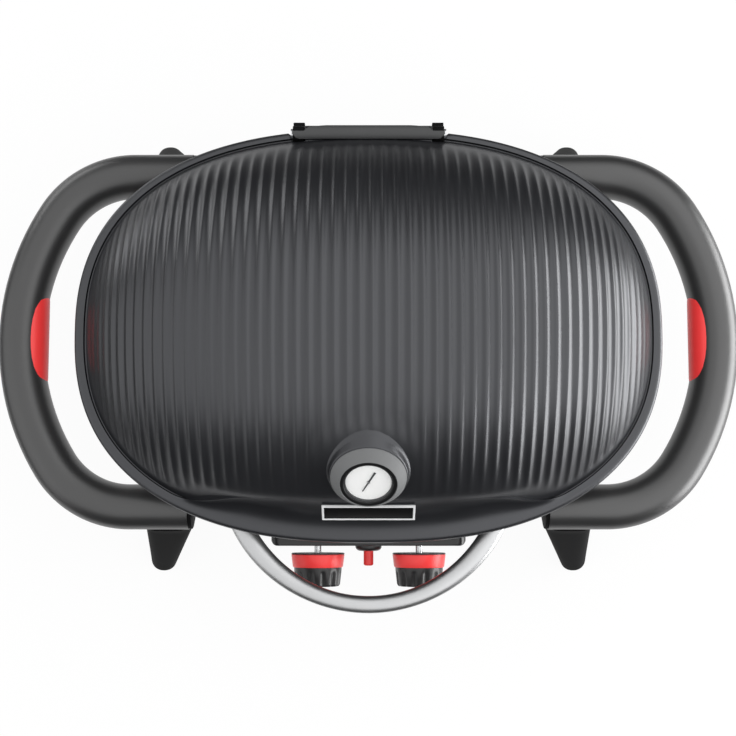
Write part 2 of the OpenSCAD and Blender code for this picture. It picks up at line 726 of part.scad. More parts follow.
// Cooking grates: an oval split in two, with bars from front to back
module grate() translate([0, grate_y, grate_z]) linear_extrude(grate_t) difference() {
  intersection() {
    polygon(oval(grate_a, grate_b));
    translate([1, -grate_b - over]) square([grate_a, 2 * grate_b + 2 * over]);
  }
  intersection() {
    polygon(oval(grate_a - grate_frame, grate_b - grate_frame));
    for (x = [grate_frame : bar_w + slot_w : grate_a - grate_frame - slot_w], row = [-1, 0, 1])
      translate([x, (row * 0.72 - 0.33) * grate_b]) square([slot_w, 0.66 * grate_b]);
  }
}
module left_grate() color("#242526") flip_x(-1) grate();
module right_grate() color("#242526") grate();

// Hinge: bracket with two ears on the base, pins, and the cover on the lid
module hinge_bracket() color("#17181a") difference() {
  union() {
    box([-bracket_half, hinge_y - 7.5, flange_z - bracket_t], [bracket_half, hinge_y + ear_r - 0.6, flange_z]);
    both_sides() {
      box([ear_x - ear_t / 2, hinge_y - 0.2, flange_z - over],
        [ear_x + ear_t / 2, hinge_y + ear_r - 0.6, hinge_z]);
      box([ear_x - ear_t / 2, hinge_y, flange_z - bracket_t],
        [ear_x + ear_t / 2, hinge_y + ear_back, hinge_z - ear_drop]);
      at_hinge() along_x(ear_x - ear_t / 2, ear_x + ear_t / 2, ear_r);
    }
  }
  bowl_outside(shell_gap);
  both_sides() {
    at_hinge() along_x(ear_x - ear_t, ear_x + ear_t, pin_r + run_fit);
    translate([bracket_screw_x, hinge_y - bracket_screw_in, flange_z - bracket_t - over])
      cylinder(r = screw_r + loose_fit, h = bracket_t + 2 * over);
  }
}
module hinge_pins() color("#8f9296") both_sides() at_hinge() {
  along_x(ear_x - ear_t / 2 - 9, ear_x + ear_t / 2, pin_r);
  along_x(ear_x + ear_t / 2, ear_x + ear_t / 2 + 2, pin_r + 2);
}
module bracket_screws() color("#8f9296")
  both_sides() translate([bracket_screw_x, hinge_y - bracket_screw_in, flange_z - bracket_t]) {
    cylinder(r = screw_r, h = bracket_screw_len);
    translate([0, 0, -screw_head_t]) cylinder(r = small_head_r, h = screw_head_t);
  }
cover_wedge = 2 * cover_r;
module hinge_cover() color("#3a3b3d") difference() {
  at_hinge() intersection() {
    slab_x(-cover_half, cover_half) intersection() {
      difference() { circle(r = cover_r); circle(r = knuckle_r + run_fit); }
      polygon([
        [0, 0],
        cover_wedge * [cos(cover_rear_angle), sin(cover_rear_angle)],
        cover_wedge * [0, 1],
        cover_wedge * [cos(cover_front_angle), sin(cover_front_angle)]
      ]);
    }
    translate([0, -6, 0]) linear_extrude(20) round_rect(2 * cover_half, 2 * cover_r + 2, 5);
  }
  both_sides() {
    box([ear_x - ear_t / 2 - 1, hinge_y + 1, hinge_z],
      [cover_half + over, hinge_y + 2 * cover_r, hinge_z + 2 * cover_r]);
    translate([cover_screw_x, hinge_y, hinge_z])
      cylinder(r = screw_r + loose_fit, h = knuckle_r + cover_bite + 0.1);
  }
}
module cover_screws() color("#8f9296")
  both_sides() translate([cover_screw_x, hinge_y, hinge_z - knuckle_r + screw_head_t]) {
    cylinder(r = screw_r, h = 2 * knuckle_r - screw_head_t + cover_bite);
    translate([0, 0, -screw_head_t]) cylinder(r = small_head_r, h = screw_head_t);
  }

// Lid: rim, fluted dome, boss for the thermometer, pad for the nameplate, hinge knuckle
// The rim is cut straight between the ears, so that nothing behind the hinge axis dips into the base
module lid_rim() difference() {
  loft([
    ring_at(oval(rim_a - rim_chamfer, rim_b - rim_chamfer), 0, 0, lid_z),
    ring_at(oval(rim_a, rim_b), 0, 0, lid_z + rim_chamfer),
    ring_at(oval(rim_a, rim_b), 0, 0, lid_top_z - rim_chamfer - 1),
    ring_at(oval(rim_a - rim_chamfer, rim_b - rim_chamfer), 0, 0, lid_top_z)
  ]);
  box([-notch_half, notch_y, lid_z - over], [notch_half, rim_b + over, lid_top_z + over]);
}
module lid_inside() {
  intersection() {
    translate([0, dome_y, hollow_axis_z]) revolve_x(barrel_profile(hollow_a, hollow_b, hollow_h));
    above(lid_top_z - 0.5);
  }
  translate([0, dome_y, lid_z - over])
    linear_extrude(lid_rim_t + 2 * over) polygon(oval(hollow_a - 0.6, hollow_b - 0.6));
}
module lid_shell() color("#3c3d40") difference() {
  union() {
    lid_rim();
    intersection() {
      translate([0, shell_y, dome_axis_z]) revolve_x(fluted_profile);
      above(lid_top_z - 4);
    }
    at_gauge() translate([0, 0, -12]) cylinder(d = boss_d, h = boss_h + 12);
    at_dome(plate_tilt) translate([0, 0, plate_level / 2 - 4])
      cube([plate_w + 2 * plate_edge, plate_h + 2 * plate_edge, plate_level + 8], center = true);
    at_hinge() {
      along_x(-knuckle_half, knuckle_half, knuckle_r);
      box([-knuckle_half, -knuckle_r - 4, -knuckle_r], [knuckle_half, 0, knuckle_web]);
    }
  }
  lid_inside();
  both_sides() {
    at_hinge() {
      along_x(ear_x - ear_t / 2 - 0.6, ear_x + ear_t / 2 + 3, knuckle_r + 0.4);
      along_x(ear_x - ear_t / 2 - 12, knuckle_half + over, pin_r + run_fit);
    }
    translate([cover_screw_x, hinge_y, hinge_z - knuckle_r]) {
      cylinder(r = screw_r + run_fit, h = 3 * knuckle_r);
      translate([0, 0, -lid_rim_t])
        cylinder(r = small_head_r + loose_fit, h = lid_rim_t + screw_head_t);
    }
  }
  at_gauge() {
    translate([0, 0, case_floor]) cylinder(r = case_r + loose_fit, h = 20);
    translate([0, 0, -30]) cylinder(r = gauge_stem_r + loose_fit, h = 60);
    translate([0, 0, nut_level - 20]) cylinder(r = 10, h = 20);
  }
  at_mounts() translate([0, 0, lid_z - over]) cylinder(r = bolt_r + run_fit, h = mount_bite + 2 * over);
}

// Lid handle: a hoop on two mounts under the front lip
module hoop_section(grow) {
  for (s = [-1, 1]) translate([s * (hoop_w - hoop_t) / 2, 0]) circle(r = hoop_t / 2 + grow);
  square([hoop_w - hoop_t, hoop_t + 2 * grow], center = true);
}
module hoop(half_angle, grow = 0)
  translate([0, -hoop_y, hoop_z]) rotate([0, 0, -90 - half_angle])
    rotate_extrude(angle = 2 * half_angle) translate([hoop_r, 0]) hoop_section(grow);
module lid_handle() color("#d6d8da") difference() {
  hoop(hoop_half_angle);
  at_mounts() translate([0, 0, hoop_low - over]) cylinder(r = bolt_r + loose_fit, h = hoop_t + 2 * over);
}
module handle_mount(side) difference() {
  at_hoop(side * mount_angle) box([-6, -8, hoop_z + 1], [6, 8, lid_z]);
  hoop(hoop_half_angle + 2, run_fit);
  at_mounts() translate([0, 0, hoop_z]) cylinder(r = bolt_r + loose_fit, h = lid_z + over - hoop_z);
}
module left_handle_mount() color("#1c1d1f") handle_mount(-1);
module right_handle_mount() color("#1c1d1f") handle_mount(1);
module handle_screws() color("#8f9296") at_mounts() {
  translate([0, 0, hoop_low]) cylinder(r = bolt_r, h = lid_z + mount_bite - hoop_low);
  translate([0, 0, hoop_low - mount_head_t]) cylinder(r = mount_head_r, h = mount_head_t);
}

// Thermometer
module thermometer_bezel() color("#9a9da0") at_gauge() rotate_extrude() polygon([
  [case_r + loose_fit, boss_h], [bezel_d / 2, boss_h], [bezel_d / 2, boss_h + 1.5],
  [bezel_front_d / 2, boss_h + bezel_h], [case_r + loose_fit, boss_h + bezel_h]
]);
module thermometer_case() color("#101113") at_gauge() difference() {
  translate([0, 0, case_floor]) cylinder(r = case_r, h = bezel_h + boss_h - case_floor - 0.6);
  translate([0, 0, dial_level]) cylinder(r = dial_d / 2 + loose_fit, h = 20);
  translate([0, 0, lens_level]) cylinder(r = dial_d / 2 + 2, h = 20);
  translate([0, 0, case_floor - over]) cylinder(r = gauge_stem_r + run_fit, h = 20);
}
module thermometer_dial() color("#f2f2ee") at_gauge() translate([0, 0, dial_level]) difference() {
  cylinder(d = dial_d, h = dial_t);
  translate([0, 0, -over]) cylinder(r = spindle_r + 0.6, h = dial_t + 2 * over);
}
module thermometer_lens() color("#dfeaf0") at_gauge()
  translate([0, 0, lens_level]) cylinder(r = dial_d / 2 + 2 - run_fit, h = lens_t);
module thermometer_stem() color("#b8babd") at_gauge() {
  translate([0, 0, -gauge_probe]) cylinder(r = gauge_stem_r, h = gauge_probe + dial_level);
  cylinder(r = spindle_r, h = dial_level + dial_t + 1.7);
}
module thermometer_nut() color("#8f9296") at_gauge() translate([0, 0, nut_level - 5]) difference() {
  cylinder(r = 8.5, h = 5, $fn = 6);
  translate([0, 0, -over]) cylinder(r = gauge_stem_r + run_fit, h = 5 + 2 * over);
}
module thermometer_needle() color("#1b1b1b") at_gauge()
  translate([0, 0, dial_level + dial_t + 0.4]) rotate([0, 0, -25]) difference() {
    union() {
      cylinder(r = 2, h = 1.2);
      linear_extrude(0.8) polygon([[-0.8, -9], [0.8, -9], [0.4, 12], [-0.4, 12]]);
    }
    translate([0, 0, -over]) cylinder(r = spindle_r + run_fit, h = 4);
  }
module nameplate() color("#0d0d0e") at_dome(plate_tilt) difference() {
  translate([0, 0, plate_level + 1]) cube([plate_w, plate_h, 2], center = true);
  translate([0, 0, plate_level + 2.4]) cube([plate_w - 3.2, plate_h - 3.2, 2], center = true);
}

// Knobs on spring-loaded valve stems
module valve_stem() at_knob() along_y(-knob_front + 8, -panel_front + 18, stem_r);
module knob_ring() at_knob() difference() {
  along_y(-knob_mid, -knob_back, knob_d / 2 - 1.6, knob_d / 2);
  along_y(-knob_mid - over, -knob_back + over, knob_core_r + run_fit);
}
module knob_grip() at_knob() difference() {
  union() {
    along_y(-knob_front + 1.5, -knob_mid, knob_d / 2 - 4.6, knob_d / 2 - 2.8);
    along_y(-knob_front, -knob_front + 1.5, knob_d / 2 - 6, knob_d / 2 - 4.6);
    along_y(-knob_mid - over, -knob_back - 1, knob_core_r);
    box([-1.4, -knob_front - 0.8, 7], [1.4, -knob_front + over, knob_d / 2 - 8]);
  }
  along_y(-knob_front + 7, -knob_back + over, stem_r + run_fit);
  for (i = [0 : 11]) rotate([0, 30 * i + 15, 0]) translate([knob_d / 2 - 2.2, 0, 0])
    along_y(-knob_front - over, -knob_mid - 4, 2.6);
}
module left_valve_stem() color("#c4c6c8") flip_x(-1) valve_stem();
module right_valve_stem() color("#c4c6c8") valve_stem();
module left_knob_ring() color("#d22b2b") flip_x(-1) knob_ring();
module right_knob_ring() color("#d22b2b") knob_ring();
module left_knob_grip() color("#18181a") flip_x(-1) knob_grip();
module right_knob_grip() color("#18181a") knob_grip();

// Drip tray under the drain, on two rails
module drip_tray() color("#b0b2b5") translate([0, dome_y, 0]) {
  difference() {
    union() {
      box([-tray_w / 2, -tray_len / 2, tray_z], [tray_w / 2, tray_len / 2, tray_z + tray_h]);
      box([-tray_w / 2 - tray_lip, -tray_len / 2, lip_z],
        [tray_w / 2 + tray_lip, tray_len / 2, tray_z + tray_h]);
      box([-30, -tray_len / 2 - 12, lip_z], [30, 0, tray_z + tray_h]);
    }
    box([tray_wall - tray_w / 2, tray_wall - tray_len / 2, tray_z + tray_wall],
      [tray_w / 2 - tray_wall, tray_len / 2 - tray_wall, tray_z + tray_h + over]);
  }
}
module tray_rail() translate([0, dome_y, 0]) difference() {
  union() {
    box([rail_x, -rail_len / 2, lip_z - rail_t], [rail_x + rail_t, rail_len / 2, bowl_floor_z]);
    box([tray_w / 2 + 1, -rail_len / 2, lip_z - rail_t], [rail_x + rail_t, rail_len / 2, lip_z]);
    box([rail_screw_x - 5, -rail_len / 2, bowl_floor_z - rail_t],
      [rail_x + rail_t, rail_len / 2, bowl_floor_z]);
  }
  for (s = [-1, 1]) translate([rail_screw_x, s * rail_screw_y, 0]) cylinder(r = screw_r + loose_fit, h = 200);
}
module left_tray_rail() color("#8f9296") flip_x(-1) tray_rail();
module right_tray_rail() color("#8f9296") tray_rail();
module rail_screws() color("#8f9296") both_sides() for (s = [-1, 1])
  translate([rail_screw_x, dome_y + s * rail_screw_y, bowl_floor_z - rail_t]) {
    cylinder(r = screw_r, h = rail_t + bowl_wall);
    translate([0, 0, -screw_head_t]) cylinder(r = screw_head_r, h = screw_head_t);
  }

// Every node in place
place() {
  base_bowl();
  left_side_handle();
  right_side_handle();
  left_grip_inlay();
  right_grip_inlay();
  front_left_leg();
  front_right_leg();
  rear_left_leg();
  rear_right_leg();
  front_left_foot();
  front_right_foot();
  rear_left_foot();
  rear_right_foot();
  handle_bolts();
  control_panel();
  panel_screws();
  gas_manifold();
  gas_inlet();
  left_valve();
  right_valve();
  left_burner();
  right_burner();
  left_electrode();
  right_electrode();
  igniter_housing();
  left_grate();
  right_grate();
  hinge_bracket();
  hinge_pins();
  bracket_screws();
  left_tray_rail();
  right_tray_rail();
  rail_screws();
  rim_stops();
  lid_shell();
  hinge_cover();
  cover_screws();
  lid_handle();
  left_handle_mount();
  right_handle_mount();
  handle_screws();
  thermometer_bezel();
  thermometer_case();
  thermometer_dial();
  thermometer_lens();
  thermometer_stem();
  thermometer_nut();
  nameplate();
  thermometer_needle();
  left_valve_stem();
  left_knob_ring();
  left_knob_grip();
  right_valve_stem();
  right_knob_ring();
  right_knob_grip();
  igniter_button();
  drip_tray();
}
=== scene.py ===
import math

import bmesh
import bpy
from mathutils import Matrix, Vector


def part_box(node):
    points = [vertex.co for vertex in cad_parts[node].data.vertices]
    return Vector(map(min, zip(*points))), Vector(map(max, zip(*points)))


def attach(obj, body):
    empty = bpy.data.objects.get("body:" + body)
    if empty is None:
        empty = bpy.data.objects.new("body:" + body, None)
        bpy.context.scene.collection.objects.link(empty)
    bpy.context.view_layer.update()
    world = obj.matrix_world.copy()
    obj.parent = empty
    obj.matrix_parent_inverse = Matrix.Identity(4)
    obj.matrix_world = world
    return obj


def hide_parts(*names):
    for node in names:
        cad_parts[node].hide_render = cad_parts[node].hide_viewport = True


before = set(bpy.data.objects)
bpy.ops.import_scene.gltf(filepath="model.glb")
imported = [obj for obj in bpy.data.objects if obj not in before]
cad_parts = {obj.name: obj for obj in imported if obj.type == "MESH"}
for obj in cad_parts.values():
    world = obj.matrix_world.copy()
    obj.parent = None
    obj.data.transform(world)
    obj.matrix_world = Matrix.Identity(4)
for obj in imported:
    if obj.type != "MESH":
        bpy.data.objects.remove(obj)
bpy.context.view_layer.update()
scene = bpy.context.scene
scene.view_settings.view_transform = "Standard"

# Sizes are in millimetres about the middle of the lid's rim, as in the part's source
MM = 0.001
OVAL_POWER = 2.4
lid_low, lid_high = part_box("lid_shell")
RIM_A = (lid_high.x - lid_low.x) / 2 / MM
RIM_B = 198.5
MIDDLE_Y = lid_low.y / MM + RIM_B
LID_Z = 190.8
RIM_TOP = 200.8
NOTCH_Y = 190.5
NOTCH_HALF = 76.0
DOME_A = 268.0
DOME_B = 187.75
DOME_Y = 1.25
DOME_H = 129.0
HOLLOW_A = 263.0
HOLLOW_B = 176.25
HOLLOW_H = 121.0
BOWL_Y = 7.75
FLUTE_PITCH = 11.0
FLUTE_DEPTH = 1.5
FLUTE_SHIFT = -2.1
BASE_A = 271.0
BASE_B = 184.25
BASE_TOP = 190.0
FLANGE_Z = 181.0
BOWL_A = 266.0
BOWL_B = 179.25
BOWL_H = 118.0
BOWL_WALL = 4.0
BOWL_FLOOR = 78.0
HINGE_Y = 191.5
HINGE_Z = 204.8
KNUCKLE_R = 8.0
KNUCKLE_HALF = 60.6
COVER_R = 10.5
COVER_HALF = 73.0
TUBE_R = 22.0
TUBE_X = 343.0
TUBE_Y = 164.5
TUBE_Z = 144.0
TUBE_END_X = 175.0
TUBE_REACH = 110.0
BEND_R = 88.0
INLAY_LEN = 86.0
INLAY_R = 18.5
FOOT_X = 219.0
FOOT_Y = 218.5
FOOT_R = 13.5
FOOT_T = 7.0
LUG_X = 171.5
LUG_T = 12.0
PANEL_W = 188.0
PANEL_FRONT = 202.0
KNOB_X = 49.8
KNOB_Z = 128.0
KNOB_R = 26.25
KNOB_BACK = 209.5
KNOB_MID = 223.5
KNOB_FRONT = 242.0
HOOP_Y = 121.5
HOOP_R = 135.5
HOOP_Z = 172.0
HOOP_T = 14.0
GAUGE_TILT = math.radians(42.5)
BOSS_R = 35.5
BOSS_H = 6.8
BEZEL_R = 33.8
BEZEL_FRONT_R = 25.8
BEZEL_TOP = 17.0
CASE_R = 24.9
CASE_FLOOR = 2.0
DIAL_R = 20.4
DIAL_LEVEL = 13.3
LENS_LEVEL = 15.2
PLATE_W = 85.2
PLATE_H = 22.5
PLATE_SHIFT = -6.5
PLATE_SINK = 4.0
PLATE_RISE = 37.5


# The dome and the bowl are barrels, turned about an axis along X
def axis_drop(b, h):
    return (b * b - h * h) / (2 * h)


DOME_DROP = axis_drop(DOME_B, DOME_H)
DOME_AXIS = RIM_TOP - DOME_DROP
DOME_R = math.hypot(DOME_B, DOME_DROP)
HOLLOW_DROP = axis_drop(HOLLOW_B, HOLLOW_H)
BOWL_DROP = axis_drop(BOWL_B, BOWL_H)
BOWL_AXIS = BASE_TOP + BOWL_DROP
PLATE_TILT = math.acos((RIM_TOP + PLATE_RISE - DOME_AXIS) / DOME_R)

TO_FRAME = Matrix.Scale(MM, 4) @ Matrix.Translation((0, MIDDLE_Y, 0))


def oval_half(x, a, b):
    return b * max(0.0, 1 - min(1.0, abs(x) / a) ** OVAL_POWER) ** (1 / OVAL_POWER)


def signed_power(value, power):
    return math.copysign(abs(value) ** power, value)


def oval_point(turn, a, b, power=OVAL_POWER):
    """A point of an oval with squared shoulders; turn goes once round it from 0 to 1."""
    angle = math.tau * turn
    x = a * signed_power(math.cos(angle), 2 / power)
    y = b * signed_power(math.sin(angle), 2 / power)
    return Vector((x, y, 0))


def smoothstep(low, high, value):
    share = min(1.0, max(0.0, (value - low) / (high - low)))
    return share * share * (3 - 2 * share)


def between(first, second, share):
    return first * (1 - share) + second * share


def barrel_radius(x, a, b, drop):
    return math.hypot(oval_half(x, a, b), drop)


def on_dome(tilt):
    """The place of a fitting on the dome's crest, tilted towards the front."""
    spot = Vector((0, DOME_Y - DOME_R * math.sin(tilt), DOME_AXIS + DOME_R * math.cos(tilt)))
    return Matrix.Translation(spot) @ Matrix.Rotation(tilt, 4, "X")


def plate_place():
    return on_dome(PLATE_TILT) @ Matrix.Translation((0, PLATE_SHIFT, -PLATE_SINK))


# Modelling helpers
def new_shape():
    shape = bmesh.new()
    shape.verts.layers.float.new("turn")
    return shape


def verts_since(shape, before):
    return [corner for corner in shape.verts if corner not in before]


def edges_among(corners):
    inside = set(corners)
    edges = dict.fromkeys(edge for corner in corners for edge in corner.link_edges)
    return [edge for edge in edges if all(end in inside for end in edge.verts)]


def loft(shape, count, stations, place, ends="capped"):
    """Draws a ring of corners through the stations; place(turn, station) puts each corner."""
    turn = shape.verts.layers.float["turn"]
    ring = bmesh.ops.create_circle(shape, cap_ends=False, segments=count, radius=1.0)["verts"]
    for corner in ring:
        corner[turn] = math.atan2(corner.co.y, corner.co.x) / math.tau % 1.0
    first = edges_among(ring)
    edges = first
    path = list(stations) + (list(stations)[:1] if ends == "closed" else [])
    for number, station in enumerate(path):
        if number:
            made = bmesh.ops.extrude_edge_only(shape, edges=edges)["geom"]
            ring = [item for item in made if isinstance(item, bmesh.types.BMVert)]
            edges = edges_among(ring)
        for corner in ring:
            corner.co = place(corner[turn], station)
    if ends == "capped":
        bmesh.ops.edgeloop_fill(shape, edges=first)
        bmesh.ops.edgeloop_fill(shape, edges=edges)


def lathe(shape, outline, matrix=None, steps=96, closed=True):
    """Turns an outline of (radius, level) points about the local Z axis."""
    before = set(shape.verts)
    corners = [shape.verts.new((radius, 0, level)) for radius, level in outline]
    pairs = list(zip(corners, corners[1:])) + ([(corners[-1], corners[0])] if closed else [])
    edges = [shape.edges.new(pair) for pair in pairs]
    bmesh.ops.spin(shape, geom=corners + edges, cent=(0, 0, 0), axis=(0, 0, 1), angle=math.tau,
                   steps=steps, use_merge=True)
    bmesh.ops.remove_doubles(shape, verts=verts_since(shape, before), dist=0.0005)
    if matrix:
        bmesh.ops.transform(shape, matrix=matrix, verts=verts_since(shape, before))


def soften(shape, edges, width):
    """Rounds edges off."""
    bmesh.ops.bevel(shape, geom=edges, offset=width, offset_type="OFFSET", segments=3, profile=0.5,
                    affect="EDGES", clamp_overlap=True, material=-1)


def block(shape, low, high, round_by, matrix=None):
    """A box between two corners, with rounded edges."""
    before = set(shape.verts)
    low, high = Vector(low), Vector(high)
    size = Matrix.Diagonal((high - low).to_4d())
    middle = Matrix.Translation((low + high) / 2)
    corners = bmesh.ops.create_cube(shape, size=1.0, matrix=middle @ size)["verts"]
    soften(shape, edges_among(corners), round_by)
    if matrix:
        bmesh.ops.transform(shape, matrix=matrix, verts=verts_since(shape, before))


def rod(shape, start, end, radius, segments, round_by):
    """A round bar between two points, with rounded ends."""
    start, end = Vector(start), Vector(end)
    run = end - start
    before = set(shape.verts)
    turned = run.to_track_quat("Z", "Y").to_matrix().to_4x4()
    bmesh.ops.create_cone(shape, cap_ends=True, cap_tris=False, segments=segments, radius1=radius,
                          radius2=radius, depth=run.length,
                          matrix=Matrix.Translation((start + end) / 2) @ turned)
    rims = [edge for edge in edges_among(verts_since(shape, before))
            if any(len(face.verts) > 4 for face in edge.link_faces)]
    soften(shape, rims, round_by)


def mirror_x(shape):
    """Turns everything made so far into its copy on the other side."""
    bmesh.ops.transform(shape, matrix=Matrix.Scale(-1, 4, (1, 0, 0)), verts=shape.verts)


def show(shape, name, body, paint, nodes=(), sharp=40, round_by=0.0, to_frame=True):
    """Finishes a shape as a piece that rides on a body and stands for the named nodes."""
    gap = 0.002 if to_frame else 0.000002
    bmesh.ops.remove_doubles(shape, verts=shape.verts, dist=gap)
    bmesh.ops.dissolve_degenerate(shape, edges=shape.edges, dist=gap / 2)
    bmesh.ops.recalc_face_normals(shape, faces=shape.faces)
    if to_frame:
        bmesh.ops.transform(shape, matrix=TO_FRAME, verts=shape.verts)
    mesh = bpy.data.meshes.new(name)
    shape.to_mesh(mesh)
    shape.free()
    mesh.polygons.foreach_set("use_smooth", [True] * len(mesh.polygons))
    piece = bpy.data.objects.new(name, mesh)
    scene.collection.objects.link(piece)
    if round_by:
        edge = piece.modifiers.new("rounded edges", "BEVEL")
        edge.width = round_by * MM
        edge.segments = 3
        edge.limit_method = "ANGLE"
        edge.angle_limit = math.radians(sharp)
        edge.use_clamp_overlap = False
        edge.harden_normals = True
    else:
        mesh.set_sharp_from_angle(angle=math.radians(sharp))
    mesh.materials.append(paint)
    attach(piece, body)
    if nodes:
        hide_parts(*nodes)
    return piece


def rounded_copy(node, body, paint, round_by, sharp=35):
    """A copy of a node with softened edges, which stands for it."""
    shape = bmesh.new()
    shape.from_mesh(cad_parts[node].data)
    bmesh.ops.remove_doubles(shape, verts=shape.verts, dist=0.000002)
    bmesh.ops.dissolve_limit(shape, angle_limit=math.radians(0.4), verts=shape.verts, edges=shape.edges)
    return show(shape, node + "_cast", body, paint, (node,), sharp, round_by, to_frame=False)


# Shader helpers
class Value:
    """One output of a shader node; arithmetic on it adds Math nodes."""

    def __init__(self, paint, socket):
        self.paint = paint
        self.socket = socket

    def combine(self, operation, left, right):
        return self.paint.node("ShaderNodeMath", {"operation": operation}, {0: left, 1: right})

    def __add__(self, other):
        return self.combine("ADD", self, other)

    def __radd__(self, other):
        return self.combine("ADD", other, self)

    def __sub__(self, other):
        return self.combine("SUBTRACT", self, other)

    def __rsub__(self, other):
        return self.combine("SUBTRACT", other, self)

    def __mul__(self, other):
        return self.combine("MULTIPLY", self, other)

    def __rmul__(self, other):
        return self.combine("MULTIPLY", other, self)

    def __gt__(self, other):
        return self.combine("GREATER_THAN", self, other)

    def __lt__(self, other):
        return self.combine("LESS_THAN", self, other)


class Nodes:
    """A node tree whose nodes are made by one method."""

    def __init__(self, tree):
        self.tree = tree

    def node(self, kind, settings, sockets, output=0):
        made = self.tree.nodes.new(kind)
        for key, value in settings.items():
            setattr(made, key, value)
        for key, value in sockets.items():
            self.link(made.inputs[key], value)
        outputs = output if isinstance(output, tuple) else (output,)
        values = [Value(self, made.outputs[key]) for key in outputs if made.outputs]
        return values if isinstance(output, tuple) else (values or [None])[0]

    def link(self, socket, value):
        if isinstance(value, Value):
            self.tree.links.new(value.socket, socket)
        else:
            socket.default_value = value


class Paint(Nodes):
    """A material with one main shader, whose sockets are fed by their names."""

    def __init__(self, name, **sockets):
        self.material = bpy.data.materials.new(name)
        self.material.use_nodes = True
        super().__init__(self.material.node_tree)
        self.shader = self.tree.nodes["Principled BSDF"]
        for key, value in sockets.items():
            self.feed(key.replace("_", " ").title(), value)

    def feed(self, key, value):
        self.link(self.shader.inputs[{"Ior": "IOR"}.get(key, key)], value)

    def place(self):
        return self.node("ShaderNodeTexCoord", {}, {}, "Object")

    def mapped(self, location=(0, 0, 0), rotation=(0, 0, 0), scale=(1, 1, 1)):
        return self.node("ShaderNodeMapping", {}, {"Vector": self.place(), "Location": location,
                                                   "Rotation": rotation, "Scale": scale})

    def noise(self, scale, detail=3.0, roughness=0.5, vector=None):
        return self.node("ShaderNodeTexNoise", {}, {"Vector": vector or self.place(), "Scale": scale,
                                                    "Detail": detail, "Roughness": roughness})

    def mix(self, share, first, second):
        return self.node("ShaderNodeMix", {"data_type": "RGBA"}, {0: share, 6: first, 7: second}, 2)

    def bump(self, height, distance):
        return self.node("ShaderNodeBump", {}, {"Height": height, "Distance": distance * MM,
                                                "Strength": 1.0})

    def parts(self, vector):
        """The three parts of a vector."""
        return self.node("ShaderNodeSeparateXYZ", {}, {0: vector}, (0, 1, 2))

    def maths(self, operation, *values):
        return self.node("ShaderNodeMath", {"operation": operation}, dict(enumerate(values)))


def shade(colour, factor):
    return (colour[0] * factor, colour[1] * factor, colour[2] * factor, 1)


def coat(name, colour, roughness, grain=900.0, depth=0.05, spread=0.12, gloss=0.5, **sockets):
    """A sprayed or moulded surface: fine grain in its relief, and slow changes of tone and sheen."""
    paint = Paint(name, **sockets)
    slow = paint.noise(22.0, 4.0)
    fine = paint.noise(grain, 2.0)
    paint.feed("Base Color", paint.mix(slow, shade(colour, 1 - spread), shade(colour, 1 + spread)))
    paint.feed("Roughness", roughness - 0.05 + slow * 0.06 + fine * 0.04)
    paint.feed("Specular IOR Level", gloss)
    paint.feed("Normal", paint.bump(fine, depth))
    return paint.material


def metal(name, colour, roughness, stretch=(1, 1, 1), streak=260.0, depth=0.012):
    """Bare metal with a drawn or brushed grain."""
    paint = Paint(name, metallic=1.0)
    lines = paint.noise(streak, 3.0, 0.6, paint.mapped(scale=stretch))
    cloud = paint.noise(30.0, 3.0)
    paint.feed("Base Color", paint.mix(cloud, shade(colour, 0.92), shade(colour, 1.05)))
    paint.feed("Roughness", roughness - 0.08 + lines * 0.14)
    paint.feed("Normal", paint.bump(lines, depth))
    return paint.material


def hoop_metal():
    """Satin silver whose brushing runs round the hoop."""
    paint = Paint("satin silver hoop", metallic=1.0)
    spot = paint.mapped(location=(0, (HOOP_Y - MIDDLE_Y) * MM, -HOOP_Z * MM))
    across, along, rise = paint.parts(spot)
    reach = paint.maths("SQRT", across * across + along * along)
    turn = paint.maths("ARCTAN2", across, 0 - along)
    wound = paint.node("ShaderNodeCombineXYZ", {}, {0: reach * 900.0, 1: turn * 14.0, 2: rise * 900.0})
    lines = paint.noise(1.0, 3.0, 0.6, wound)
    cloud = paint.noise(25.0, 3.0)
    paint.feed("Base Color", paint.mix(cloud, (0.46, 0.465, 0.47, 1), (0.52, 0.525, 0.53, 1)))
    paint.feed("Roughness", 0.34 + lines * 0.12)
    paint.feed("Normal", paint.bump(lines, 0.01))
    return paint.material


DIAL_MARKS = 20
MARK_HALF = 0.4
MARK_IN = 17.4
MARK_OUT = 19.0
MARK_SWEEP = 2.4


def dial_face():
    """White dial with fine scale marks in a ring."""
    paint = Paint("dial white", roughness=0.5)
    centre = TO_FRAME @ on_dome(GAUGE_TILT) @ Vector((0, 0, DIAL_LEVEL))
    turned = Matrix.Rotation(-GAUGE_TILT, 3, "X") @ centre
    spot = paint.mapped(location=-turned, rotation=(-GAUGE_TILT, 0, 0))
    across, along, _ = paint.parts(spot)
    reach = paint.maths("SQRT", across * across + along * along)
    turn = paint.maths("ARCTAN2", across, along)
    share = paint.maths("FRACT", turn * (DIAL_MARKS / math.tau) + 100.5)
    off_mark = paint.maths("ABSOLUTE", share - 0.5)
    mark = (off_mark * reach < MARK_HALF * MM) * (reach > MARK_IN * MM) * (reach < MARK_OUT * MM)
    mark = mark * (paint.maths("ABSOLUTE", turn) < MARK_SWEEP)
    paper = paint.noise(300.0, 2.0)
    white = paint.mix(paper, (0.86, 0.86, 0.85, 1), (0.90, 0.90, 0.89, 1))
    paint.feed("Base Color", paint.mix(mark * 0.35, white, (0.12, 0.12, 0.12, 1)))
    return paint.material


